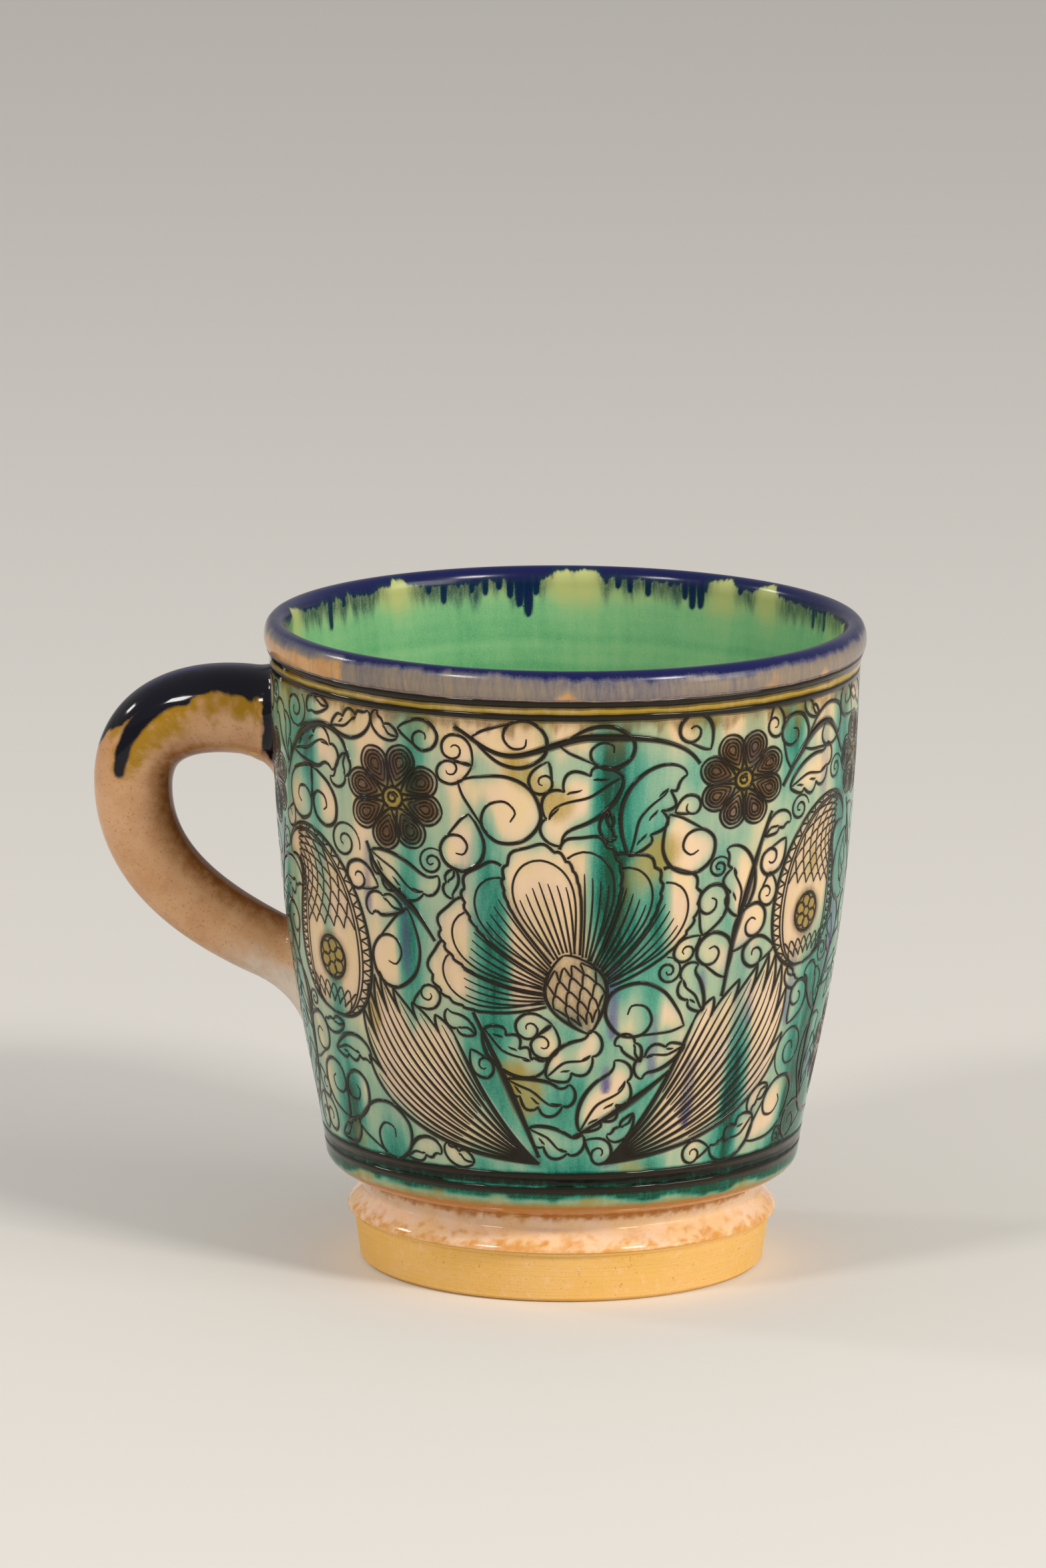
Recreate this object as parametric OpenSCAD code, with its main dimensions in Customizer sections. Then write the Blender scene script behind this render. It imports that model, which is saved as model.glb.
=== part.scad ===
// Thrown and glazed stoneware mug with a turned foot and a pulled loop handle.
// Origin at the centre of the foot's underside, +Z up, handle towards -X.

/* [Cup] */
// Overall height, glaze included
mug_h = 100; // [85:1:125]
// Widest diameter, at the lip
rim_d = 92; // [84:1:110]
// Radial step by which the lip flares out from the wall
lip_flare = 1; // [0.5:0.1:3]
// Overhang of the shoulder past the neck
shoulder_out = 6; // [3:0.1:8]
// Height of the shoulder, where the wall starts to rise
shoulder_z = 17.8; // [16:0.1:20]
// Thickness of the wall
wall_t = 4.2; // [3:0.1:6]
// Thickness of the lip
lip_t = 3.7; // [3:0.1:5]
// Height of the flared lip
lip_h = 8.5; // [6:0.5:12]
// Height of the inside floor above the table
floor_z = 15.5; // [15:0.5:22]
// Diameter of the flat part of the inside floor
floor_d = 30; // [20:1:40]
// Height to which the inside corner of the floor rises
corner_h = 20; // [14:1:28]

/* [Foot] */
// Diameter of the foot on the table
foot_d = 62; // [54:1:68]
// Radial growth of the bare turned band from the table to its top
band_flare = 1; // [0:0.1:2]
// Height of the bare turned band
band_h = 7.5; // [5:0.1:9]
// Radial step from the band out to the sharp edge above it
arris_out = 1; // [0.4:0.1:3]
// Height from the band to the sharp edge
arris_rise = 0.7; // [0.3:0.1:1]
// Radial depth of the neck under the sharp edge
neck_depth = 2.6; // [1:0.1:4]
// Height of the middle of the neck
neck_z = 12.4; // [12:0.1:13]
// Height of the straight part of the neck
neck_h = 1.7; // [0.8:0.1:2.2]
// Radial width of the ring that the mug stands on
ring_w = 6.5; // [4:0.5:9]
// Depth of the hollow under the foot
hollow_depth = 7; // [3:0.5:8]
// Bevel on the edges of the standing ring
bevel = 0.6; // [0.3:0.1:1]

/* [Handle] */
// Distance by which the handle stands out past the rim
handle_out = 27; // [22:0.5:34]
// Drop from the rim to the handle's centre line where it enters the wall at the top
upper_joint_drop = 17.9; // [16:0.1:22]
// Drop from there to the handle's outermost point
handle_side_drop = 10.1; // [8:0.1:14]
// Height above the shoulder of the handle's centre line where it comes back to the wall
lower_joint_rise = 25.3; // [22:0.1:32]
// Upward slope of the handle as it leaves the wall, in degrees
upper_rise_deg = 18; // [8:1:24]
// Downward slope of the handle as it comes back to the wall, in degrees
lower_fall_deg = 23; // [15:1:32]
// Thickness of the handle at its upper joint
root_d = 13.8; // [10:0.2:16]
// Thickness of the handle over its crest
crest_d = 13.5; // [10:0.2:16]
// Thickness of the handle at its outermost point
side_d = 12.1; // [9:0.2:15]
// Thickness of the handle on its way back to the wall
low_d = 11; // [8:0.2:14]
// Thickness of the handle at its lower joint
tail_d = 9.4; // [7:0.2:12]

/* [Joining slip] */
// Length of slip smeared along the handle at the upper joint
upper_slip_len = 5; // [3:0.5:8]
// Reach of the upper slip down the wall, under the handle
upper_slip_down = 5; // [3:0.5:8]
// Length of slip smeared along the handle at the lower joint
lower_slip_len = 6.5; // [4:0.5:9]
// Reach of the lower slip down the wall, under the handle
lower_slip_down = 10; // [5:0.5:12]
// Reach of the slip over the wall on the other sides of the handle
slip_side = 1.4; // [1:0.1:3]
// Thickness of the slip at its edge on the handle
slip_edge = 0.3; // [0.2:0.1:0.6]

/* [Glaze] */
// Thickness of the glaze coats
glaze_t = 0.3; // [0.2:0.05:0.5]
// Thickness of the dark blue glaze that runs over the handle
run_t = 0.3; // [0.2:0.05:0.5]
// Distance below the rim at which the wall's glaze ends outside
rim_glaze_h = 4.4; // [3:0.1:6]
// Distance below the rim at which the rim's glaze ends inside
rim_glaze_in = 3; // [2:0.1:6]
// Angle round the handle that the dark blue run covers, to each side, in degrees
run_half_deg = 62; // [40:1:80]

/* [Hidden] */

// Smoothness of the turned pieces, and steps along each stretch of their outline
turn_fn = 96;
wall_steps = 14;
bend_steps = 6;
shoulder_steps = 9;
lip_steps = 7;

// Sides of the handle's section, rings along each half of it, and rings of a slip fillet
sides = 20;
half_rings = 14;
fillet_steps = 5;

// How far the handle's ends and the slip's edge sink into the wall before they are cut off
sink = 5;
slip_sink = 0.8;

// Shares that shape the curves of the outline
wall_low_pull_share = 0.2;
wall_low_slope = 0.12;
wall_high_pull_share = 0.65;
wall_high_slope = 0.026;
flare_pull_share = 0.5;
lip_crown_share = 1.5;
shoulder_low_share = 0.2;
shoulder_high_share = 0.69;
bead_low_share = 0.35;
bead_high_share = 0.2;
corner_pull_share = 0.6;

// Radii and heights worked out from the sizes above
rim_r = rim_d / 2;
waist_r = rim_r - lip_flare;
foot_r = foot_d / 2;
band_r = foot_r + band_flare;
arris_r = band_r + arris_out;
neck_r = arris_r - neck_depth;
shoulder_r = neck_r + shoulder_out;
arris_z = band_h + arris_rise;
neck_low_z = neck_z - neck_h / 2;
neck_high_z = neck_z + neck_h / 2;
waist_z = mug_h - lip_h;
wall_h = waist_z - shoulder_z;
lip_round = lip_t / 2;
lip_widest_z = mug_h - lip_round * lip_crown_share;
handle_reach = rim_r + handle_out;
upper_joint_z = mug_h - upper_joint_drop;
lower_joint_z = shoulder_z + lower_joint_rise;
loop_h = upper_joint_z - lower_joint_z;
handle_side_z = upper_joint_z - handle_side_drop;

// Pulls of the handle curve's four control points, as shares of the loop's height
root_pull_share = 0.352;
crest_pull_share = 0.326;
side_pull_share = 0.46;
tail_pull_share = 0.291;

// Where along the handle the dark blue run ends, as a share of its rings
run_end_share = 0.5;

// A cubic curve through a and d, drawn towards b and c, at share t
function cubic(a, b, c, d, t) =
    pow(1 - t, 3) * a + 3 * pow(1 - t, 2) * t * b + 3 * (1 - t) * t * t * c + pow(t, 3) * d;
function curve(a, b, c, d, steps) = [for (i = [1 : steps]) cubic(a, b, c, d, i / steps)];

// The glazed outline of the cup and foot as radius and height, from the sharp edge of the foot
// up the outside, over the lip and down the inside to the middle of the floor
neck_low = [neck_r, neck_low_z];
neck_mid = [neck_r, neck_z];
neck_high = [neck_r, neck_high_z];
edge_pt = [arris_r, arris_z];
shoulder_pt = [shoulder_r, shoulder_z];
waist_pt = [waist_r, waist_z];
widest_pt = [rim_r, lip_widest_z];
crown_pt = [rim_r - lip_round, mug_h];
inner_lip_pt = [rim_r - lip_t, lip_widest_z];
bead_rise = neck_low_z - arris_z;
shoulder_rise = shoulder_z - neck_high_z;
inner_wall_top = [waist_r - wall_t, waist_z - lip_h];
corner_pt = [shoulder_r + wall_low_slope * corner_h - wall_t, floor_z + corner_h];
floor_pt = [floor_d / 2, floor_z];
wall_low_pull = wall_h * wall_low_pull_share;
wall_high_pull = wall_h * wall_high_pull_share;

bead_run = curve(edge_pt, edge_pt + [0, bead_rise * bead_low_share],
    neck_low - [0, bead_rise * bead_high_share], neck_low, bend_steps);
shoulder_run = curve(neck_high, neck_high + [shoulder_out, shoulder_rise] * shoulder_low_share,
    shoulder_pt - [0, shoulder_rise * shoulder_high_share], shoulder_pt, shoulder_steps);
wall_run = curve(shoulder_pt, shoulder_pt + wall_low_pull * [wall_low_slope, 1],
    waist_pt - wall_high_pull * [wall_high_slope, 1], waist_pt, wall_steps);
flare_run = curve(waist_pt, waist_pt + [0, lip_h * flare_pull_share],
    widest_pt - [0, lip_round], widest_pt, lip_steps);
crown_run = concat(
    curve(widest_pt, widest_pt + [0, lip_round], crown_pt + [lip_round / 2, 0], crown_pt, lip_steps),
    curve(crown_pt, crown_pt - [lip_round / 2, 0], inner_lip_pt + [0, lip_round], inner_lip_pt, lip_steps));
inside_run = concat(
    curve(inner_lip_pt, inner_lip_pt - [0, rim_glaze_in],
        inner_wall_top + [0, rim_glaze_in], inner_wall_top, lip_steps),
    curve(inner_wall_top, inner_wall_top - wall_high_pull * [wall_high_slope, 1],
        corner_pt + wall_low_pull * [wall_low_slope, 1], corner_pt, wall_steps),
    curve(corner_pt, corner_pt - corner_h * corner_pull_share * [wall_low_slope, 1],
        floor_pt + [corner_h * corner_pull_share, 0], floor_pt, bend_steps),
    [[0, floor_z]]);
skin = concat([edge_pt], bead_run, [neck_mid, neck_high], shoulder_run, wall_run, flare_run,
    crown_run, inside_run);
neck_i = len(bead_run) + 1;
wall_i = neck_i + 1 + len(shoulder_run);
hem_i = wall_i - 2;
last_i = len(skin) - 1;

// The first point, from index i on, at which the skin has passed a height
function rising(i, z) = skin[i].y >= z ? i : rising(i + 1, z);
function falling(i, z) = skin[i].y <= z ? i : falling(i + 1, z);
crown_i = wall_i + len(wall_run) + len(flare_run) + lip_steps;
rim_out_i = rising(wall_i, mug_h - rim_glaze_h);
rim_in_i = falling(crown_i, mug_h - lip_round - rim_glaze_in);

// The clay lies one glaze coat under the skin, square to it
function skin_dir(i) = skin[min(i + 1, last_i)] - skin[max(i - 1, 0)];
function square_out(d) = [d.y, -d.x] / norm(d);
clay = [for (i = [0 : last_i])
    i == last_i ? [0, floor_z - glaze_t] : skin[i] - glaze_t * square_out(skin_dir(i))];
function part_of(line, from, to) = [for (i = [from : to]) line[i]];
function turned_back(line) = [for (i = [len(line) - 1 : -1 : 0]) line[i]];

module coat(from, to) {
    rotate_extrude($fn = turn_fn)
        polygon(concat(part_of(skin, from, to), turned_back(part_of(clay, from, to))));
}

module cup_body() {
    color("#c89a66")
        rotate_extrude($fn = turn_fn)
            polygon(concat([[0, neck_z]], part_of(clay, neck_i, last_i)));
}

module foot_ring() {
    hollow_r = foot_r - ring_w;
    color("#b58a4e")
        rotate_extrude($fn = turn_fn)
            polygon(concat(
                [[0, hollow_depth], [hollow_r - 2 * bevel, hollow_depth],
                    [hollow_r, hollow_depth - 2 * bevel], [hollow_r, bevel], [hollow_r + bevel, 0],
                    [foot_r - bevel, 0], [foot_r, bevel], [band_r, band_h]],
                part_of(clay, 0, neck_i), [[0, neck_z]]));
}

module outer_glaze() {
    color("#6aa893")
        difference() {
            coat(hem_i, rim_out_i);
            joint_window(upper_ring, -1, upper_joint_z, upper_slip_down);
            joint_window(lower_ring, 1, lower_joint_z, lower_slip_down);
        }
}

module inner_glaze() {
    color("#2f9e63") coat(rim_in_i, last_i);
}

module rim_glaze() {
    color("#20264f") coat(rim_out_i, rim_in_i);
}

module foot_glaze() {
    color("#d9b596") coat(0, hem_i);
}

// The solid that the clay wall fills, out to its surface and in to the axis
module wall_core() {
    rotate_extrude($fn = turn_fn)
        polygon(concat([[0, neck_z]], part_of(clay, neck_i, crown_i), [[0, mug_h - glaze_t]]));
}

// The same solid out to the surface of the wall's glaze
module glazed_core() {
    rotate_extrude($fn = turn_fn)
        polygon(concat([[0, neck_z]], part_of(skin, neck_i, crown_i), [[0, mug_h]]));
}

// Radius of the clay wall at a height
wall_table = [for (i = [wall_i : wall_i + len(wall_run)]) [clay[i].y, clay[i].x]];
function wall_r(z) = lookup(z, wall_table);

// The handle's centre line in its own plane, as distance from the axis and height
side_centre = handle_reach - side_d / 2;
root_pt = [wall_r(upper_joint_z) - sink, upper_joint_z];
tail_pt = [wall_r(lower_joint_z) - sink, lower_joint_z];
side_pt = [side_centre, handle_side_z];
root_pull = loop_h * root_pull_share * [cos(upper_rise_deg), sin(upper_rise_deg)];
tail_pull = loop_h * tail_pull_share * [cos(lower_fall_deg), sin(lower_fall_deg)];
crest_pull = [0, loop_h * crest_pull_share];
side_pull = [0, loop_h * side_pull_share];
line_pts = concat([root_pt],
    curve(root_pt, root_pt + root_pull, side_pt + crest_pull, side_pt, half_rings),
    curve(side_pt, side_pt - side_pull, tail_pt + tail_pull, tail_pt, half_rings));
first_ring = 0;
last_ring = 2 * half_rings;
quarter = half_rings / 2;
thickness = [[0, root_d], [quarter, crest_d], [half_rings, side_d],
    [half_rings + quarter, low_d], [last_ring, tail_d]];

// A ring of the handle's section, grown by so much past the glazed surface
function line_dir(i) = let (d = line_pts[min(i + 1, last_ring)] - line_pts[max(i - 1, 0)]) d / norm(d);
function ring(i, grow) = let (
        c = line_pts[i],
        out = [-line_dir(i).y, line_dir(i).x],
        r = lookup(i, thickness) / 2 + grow)
    [for (k = [0 : sides - 1]) let (a = 360 * k / sides)
        [-(c.x + r * cos(a) * out.x), r * sin(a), c.y + r * cos(a) * out.y]];
function handle_rings(grow, from, to) = [for (i = [from : to]) ring(i, grow)];

// Where a line of points along the handle first lies inside the clay wall
function axis_gap(p) = norm([p.x, p.y]) - wall_r(p.z);
function meeting(p, q) = p + (q - p) * axis_gap(p) / (axis_gap(p) - axis_gap(q));
function crossing(k, grow, i, step) = let (
        p = ring(i, grow)[k],
        q = ring(i + step, grow)[k])
    axis_gap(q) > 0 ? crossing(k, grow, i + step, step) : meeting(p, q);

// The first rings that slip covers, counted from where the centre line leaves the wall
function path_len(i) = i == 0 ? 0 : path_len(i - 1) + norm(line_pts[i] - line_pts[i - 1]);
function ring_past(len, i) = path_len(i) >= len ? i : ring_past(len, i + 1);
upper_ring = ring_past(sink + upper_slip_len, 1);
lower_ring = ring_past(path_len(last_ring) - sink - lower_slip_len, upper_ring) - 1;

// Slip fillet: each side's line leaves the handle, is drawn to the corner and ends on the wall
function on_wall(p) = let (r = wall_r(p.z) - slip_sink) [-sqrt(r * r - p.y * p.y), p.y, p.z];
function spread(corner, centre_z, down) = let (
        d = [0, corner.y, corner.z - centre_z],
        reach = slip_side + (down - slip_side) * pow(max(0, -d.z / norm(d)), 2))
    on_wall(corner + d / norm(d) * reach);
function fillet_line(k, grow, i, step, centre_z, down) = let (
        start = ring(i, grow)[k],
        corner = crossing(k, grow, i, step),
        end = spread(corner, centre_z, down))
    [for (m = [0 : fillet_steps]) let (t = m / fillet_steps)
        (1 - t) * (1 - t) * start + 2 * (1 - t) * t * corner + t * t * end];
function fillet(grow, i, step, centre_z, down) = let (
        lines = [for (k = [0 : sides - 1]) fillet_line(k, grow, i, step, centre_z, down)])
    [for (m = [0 : fillet_steps]) [for (k = [0 : sides - 1]) lines[k][m]]];

// The line on the clay wall where the handle's coat ends, and the window in the wall's coat
// that leaves it room
function shore(line, m) = axis_gap(line[m + 1]) > 0 ? shore(line, m + 1) : meeting(line[m], line[m + 1]);
module joint_window(i, step, centre_z, down) {
    edge = [for (k = [0 : sides - 1]) shore(fillet_line(k, slip_edge, i, step, centre_z, down), 0)];
    translate([-handle_reach, 0, 0])
        rotate([90, 0, 90])
            linear_extrude(handle_reach)
                polygon([for (p = edge) [p.y, p.z]]);
}

function lower_fillet(grow) = fillet(grow, lower_ring, 1, lower_joint_z, lower_slip_down);
function upper_fillet(grow) = turned_back(fillet(grow, upper_ring, -1, upper_joint_z, upper_slip_down));

// Skins of triangles between rings, and the solids that they close
function skin_faces(n, base, flip) = [for (m = [0 : n - 2]) for (k = [0 : sides - 1]) let (
        a = base + m * sides + k,
        b = base + m * sides + (k + 1) % sides,
        c = b + sides,
        d = a + sides)
    each flip ? [[a, d, c], [a, c, b]] : [[a, b, c], [a, c, d]]];
function fan_faces(base, middle, flip) = [for (k = [0 : sides - 1]) let (
        a = base + k,
        b = base + (k + 1) % sides)
    flip ? [b, a, middle] : [a, b, middle]];
function middle_of(ring) = [for (r = ring) 1] * ring / len(ring);
function ring_faces(base_a, base_b, flip) = [for (k = [0 : sides - 1]) let (
        a = base_a + k,
        b = base_a + (k + 1) % sides,
        c = base_b + (k + 1) % sides,
        d = base_b + k)
    each flip ? [[a, d, c], [a, c, b]] : [[a, b, c], [a, c, d]]];

module tube(rings) {
    n = len(rings);
    polyhedron(concat([for (r = rings) each r], [middle_of(rings[0]), middle_of(rings[n - 1])]),
        concat(skin_faces(n, 0, false), fan_faces(0, n * sides, true),
            fan_faces((n - 1) * sides, n * sides + 1, false)));
}

module shell(outer, inner) {
    n = len(outer);
    m = len(inner);
    base = n * sides;
    polyhedron(concat([for (r = outer) each r], [for (r = inner) each r]),
        concat(skin_faces(n, 0, false), skin_faces(m, base, true),
            ring_faces(0, base, true), ring_faces((n - 1) * sides, base + (m - 1) * sides, false)));
}

module handle() {
    color("#cf9a68")
        difference() {
            tube(handle_rings(-glaze_t, first_ring, last_ring));
            wall_core();
        }
}

module upper_joint_slip() {
    color("#c08850")
        difference() {
            shell(upper_fillet(slip_edge - glaze_t), handle_rings(-glaze_t, first_ring, upper_ring));
            wall_core();
        }
}

module lower_joint_slip() {
    color("#c08850")
        difference() {
            shell(lower_fillet(slip_edge - glaze_t), handle_rings(-glaze_t, lower_ring, last_ring));
            wall_core();
        }
}

module handle_glaze() {
    color("#dba679")
        difference() {
            shell(
                concat(upper_fillet(slip_edge), handle_rings(0, upper_ring + 1, lower_ring - 1),
                    lower_fillet(slip_edge)),
                concat(upper_fillet(slip_edge - glaze_t), handle_rings(-glaze_t, upper_ring, lower_ring),
                    lower_fillet(slip_edge - glaze_t)));
            wall_core();
        }
}

// The strip of the handle's coat under the dark blue run, grown by so much, and the sheet over it
run_half = floor(sides * run_half_deg / 360);
run_cols = [for (k = [-run_half : run_half]) (k + sides) % sides];
run_last = round(last_ring * run_end_share);
function run_rings(grow) = concat(upper_fillet(slip_edge + grow),
    handle_rings(grow, upper_ring + 1, run_last));
function run_strip(grow) = [for (r = run_rings(grow)) each [for (k = run_cols) r[k]]];
function sheet_faces(n, w, base, flip) = [for (m = [0 : n - 2]) for (k = [0 : w - 2]) let (
        a = base + m * w + k,
        b = a + 1,
        c = a + w + 1,
        d = a + w)
    each flip ? [[a, d, c], [a, c, b]] : [[a, b, c], [a, c, d]]];
function rim_line(n, w) = concat([for (k = [0 : w - 1]) k], [for (m = [1 : n - 1]) m * w + w - 1],
    [for (k = [w - 2 : -1 : 0]) (n - 1) * w + k], [for (m = [n - 2 : -1 : 1]) m * w]);
function rim_faces(line, base) = [for (i = [0 : len(line) - 1]) let (
        a = line[i],
        b = line[(i + 1) % len(line)])
    each [[a, a + base, b + base], [a, b + base, b]]];

module handle_blue_glaze() {
    w = len(run_cols);
    n = len(run_strip(0)) / w;
    color("#15173a")
        difference() {
            polyhedron(concat(run_strip(run_t), run_strip(0)),
                concat(sheet_faces(n, w, 0, false), sheet_faces(n, w, n * w, true),
                    rim_faces(rim_line(n, w), n * w)));
            glazed_core();
        }
}

cup_body();
foot_ring();
handle();
upper_joint_slip();
lower_joint_slip();
outer_glaze();
inner_glaze();
rim_glaze();
foot_glaze();
handle_glaze();
handle_blue_glaze();
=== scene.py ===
"""Looks of a thrown and glazed stoneware mug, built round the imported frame.

Turned shells, a swept handle and brush strokes are worked out with numpy in millimetres and put into
meshes in metres. Paint is a mesh attribute named pigments, whose four channels are copper, manganese,
ochre and cobalt, with a second one named ink, and the glaze materials read both.
"""

import math

import bpy
import numpy as np
from bpy.props import FloatProperty, FloatVectorProperty, IntProperty, PointerProperty
from bpy.types import Operator, Panel, PropertyGroup
from mathutils import Matrix, Vector


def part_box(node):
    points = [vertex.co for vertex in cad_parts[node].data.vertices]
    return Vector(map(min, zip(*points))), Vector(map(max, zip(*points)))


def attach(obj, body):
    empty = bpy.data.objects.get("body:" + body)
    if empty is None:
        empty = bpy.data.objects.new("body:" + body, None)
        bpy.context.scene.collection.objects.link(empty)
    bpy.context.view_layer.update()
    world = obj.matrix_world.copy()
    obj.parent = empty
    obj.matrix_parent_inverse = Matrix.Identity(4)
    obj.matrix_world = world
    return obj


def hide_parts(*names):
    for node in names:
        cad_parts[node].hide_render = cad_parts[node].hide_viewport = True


bl_info = {
    "name": "Glazed Mug",
    "version": (1, 0, 0),
    "blender": (4, 5, 0),
    "location": "View3D > Sidebar > Mug",
    "description": "Glaze coats, painted ornament, foot and handle of a thrown mug",
    "category": "Object",
}

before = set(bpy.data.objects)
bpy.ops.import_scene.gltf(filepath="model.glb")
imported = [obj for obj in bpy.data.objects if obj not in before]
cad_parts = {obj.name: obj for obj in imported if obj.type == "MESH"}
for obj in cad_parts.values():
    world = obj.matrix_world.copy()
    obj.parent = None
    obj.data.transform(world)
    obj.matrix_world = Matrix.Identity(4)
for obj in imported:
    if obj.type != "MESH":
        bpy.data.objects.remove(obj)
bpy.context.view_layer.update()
BODY = "root"
MM = 0.001
TURN = 2 * math.pi
UP = np.array([0.0, 1.0])
OUT = np.array([1.0, 0.0])
COPPER, MANGANESE, OCHRE, COBALT, RESERVE, HALO = range(6)
STROKE_STEP = 0.5
FIELD_RADIUS = 42.0
FIELD_WIDTH = TURN * FIELD_RADIUS
FIELD_SEAM = math.radians(-82) - FIELD_WIDTH / 4 / FIELD_RADIUS
EDGE = 0.03
INK_SPREAD = 1.6
LEAST_GAP = 1.9
INK_LOW = 0.004
INK_HIGH = 0.016
BARE_MIDDLE = -151.0
BARE_GAPS = [(-82, 0.8), (-107, 0.5), (-40, 0.6), (-24, 0.7), (60, 0.8)]
GREEN_GAPS = [(136, 1.0), (98, 1.0), (94, 1.0), (62, 0.9), (50, 1.0), (10, 0.9), (-60, 1.0), (-130, 1.0),
              (175, 0.8)]
DEGREES_A_MM = 1.33
COAT_SHARE = 0.97
COLUMNS = 528
FOOT_COLUMNS = 512
FLOOR_FLAT = 6000
FLOOR_END = 14000
FLOOR_RISE = 4000
DRIPS = [(157, 7.6, 1.0), (152, 4.6, 0.7), (128, 4.6, 0.8), (124.5, 6.3, 0.9), (118, 5.0, 0.8),
         (115, 5.4, 0.8), (112, 4.6, 0.9), (109.6, 6.0, 1.0), (107.6, 7.4, 1.3), (105.7, 8.9, 1.3),
         (104.0, 5.6, 1.0), (86.5, 4.4, 0.8), (84, 5.0, 0.8), (80, 5.4, 0.8), (75, 3.6, 0.7),
         (71.6, 5.4, 0.9), (69.8, 6.8, 1.0), (67.8, 6.6, 1.0), (57.8, 3.6, 0.7), (33, 6.2, 0.8),
         (27.5, 6.0, 0.8), (-15, 5.0, 0.8), (-40, 8.2, 1.2), (-43, 6.0, 1.0), (-95, 6.4, 1.0),
         (-150, 7.0, 1.1)]


def box_mm(node, corner, axis):
    """One coordinate of a node's box in millimetres."""
    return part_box(node)[corner][axis] / MM


def length(name, description, value):
    """A length property whose default is given in millimetres."""
    return FloatProperty(name=name, description=description, default=value * MM, unit="LENGTH", precision=5)


def angle(name, description, value):
    """An angle property whose default is given in degrees."""
    return FloatProperty(name=name, description=description, default=math.radians(value), subtype="ANGLE")


def colour(name, description, code):
    """A colour property whose default is a hex code of display colours, kept as linear light."""
    shown = np.array([int(code[i:i + 2], 16) / 255 for i in (0, 2, 4)])
    linear = np.where(shown <= 0.04045, shown / 12.92, ((shown + 0.055) / 1.055) ** 2.4)
    return FloatVectorProperty(name=name, description=description, default=tuple(linear), subtype="COLOR",
                               min=0, max=1)


class MugCup(PropertyGroup):
    """Outline of the cup and its foot."""

    height: length("Height", "Overall height, glaze included", box_mm("rim_glaze", 1, 2))
    rim_radius: length("Rim radius", "Widest radius, at the lip", box_mm("rim_glaze", 1, 1))
    lip_flare: length("Lip flare", "Radial step from the wall out to the lip", 1)
    lip_thickness: length("Lip thickness", "Thickness of the lip", 3.7)
    lip_height: length("Lip height", "Height of the flared lip", 8.5)
    wall_thickness: length("Wall thickness", "Thickness of the wall", 4.2)
    shoulder_height: length("Shoulder height", "Where the wall starts to rise", 17.8)
    shoulder_out: length("Shoulder overhang", "Overhang of the shoulder past the neck", 6)
    hem_height: length("Hem height", "End of the painted coat under the shoulder",
                       box_mm("outer_glaze", 0, 2))
    floor_height: length("Floor height", "Height of the inside floor", 15.5)
    floor_radius: length("Floor radius", "Radius of the flat part of the inside floor", 15)
    corner_height: length("Corner height", "Height to which the inside corner rises", 20)
    foot_radius: length("Foot radius", "Radius of the foot on the table", 31)
    band_flare: length("Band flare", "Growth of the bare band from the table to its top", 1)
    band_height: length("Band height", "Height of the bare turned band", 7.5)
    arris_out: length("Arris step", "Step from the band out to the sharp edge", 1)
    arris_rise: length("Arris rise", "Height from the band to the sharp edge", 0.7)
    neck_depth: length("Neck depth", "Depth of the neck under the sharp edge", 2.6)
    neck_middle: length("Neck height", "Height of the middle of the neck", 12.4)
    neck_straight: length("Straight neck", "Height of the straight part of the neck", 1.7)
    ring_width: length("Standing ring", "Width of the ring that the mug stands on", 6.5)
    hollow_depth: length("Foot hollow", "Depth of the hollow under the foot", 7)
    bevel: length("Bevel", "Bevel on the edges of the standing ring", 0.6)
    glaze: length("Glaze thickness", "Thickness of the glaze coats", 0.3)
    wall_top: length("Wall glaze top", "Height at which the wall's glaze ends", 95.3)
    rim_inside: length("Rim glaze inside", "How far the rim's glaze reaches down inside", 5)


class MugBands(PropertyGroup):
    """Heights of the painted bands."""

    field_low: length("Field bottom", "Bottom of the painted field", 21.7)
    field_high: length("Field top", "Top of the painted field", 92.55)
    upper_top: length("Upper band", "Bottom of the upper band's top line", 94.6)
    lower_line: length("Lower line", "Top of the lower band's thick line", 19.4)
    lower_bottom: length("Lower band", "Where the pooled green starts under the lower band", 18.4)


class MugHandle(PropertyGroup):
    """Centre line and thickness of the handle."""

    reach: length("Reach", "Distance from the mug's axis to the handle's outermost point", 73)
    upper_height: length("Upper joint", "Height of the centre line at the upper joint", 82.1)
    side_height: length("Side height", "Height of the outermost point", 72)
    lower_height: length("Lower joint", "Height of the centre line at the lower joint", 43.1)
    upper_rise: angle("Upper rise", "Upward slope where the handle leaves the wall", 18)
    lower_fall: angle("Lower fall", "Downward slope where the handle comes back", 23)
    root: length("Root thickness", "Thickness at the upper joint", 13.8)
    crest: length("Crest thickness", "Thickness over the crest", 13.5)
    side: length("Side thickness", "Thickness at the outermost point", 12.1)
    low: length("Low thickness", "Thickness on the way back to the wall", 11)
    tail: length("Tail thickness", "Thickness at the lower joint", 9.4)
    upper_slip: length("Upper slip", "Length of the slip smeared along the upper joint", 5)
    lower_slip: length("Lower slip", "Length of the slip smeared along the lower joint", 6.5)
    upper_down: length("Upper slip reach", "Reach of the upper slip down the wall", 5)
    lower_down: length("Lower slip reach", "Reach of the lower slip down the wall", 10)
    slip_side: length("Slip reach", "Reach of the slip over the wall on the other sides", 1.4)
    sink: length("Sink", "How far the centre line starts inside the wall", 5)


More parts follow.
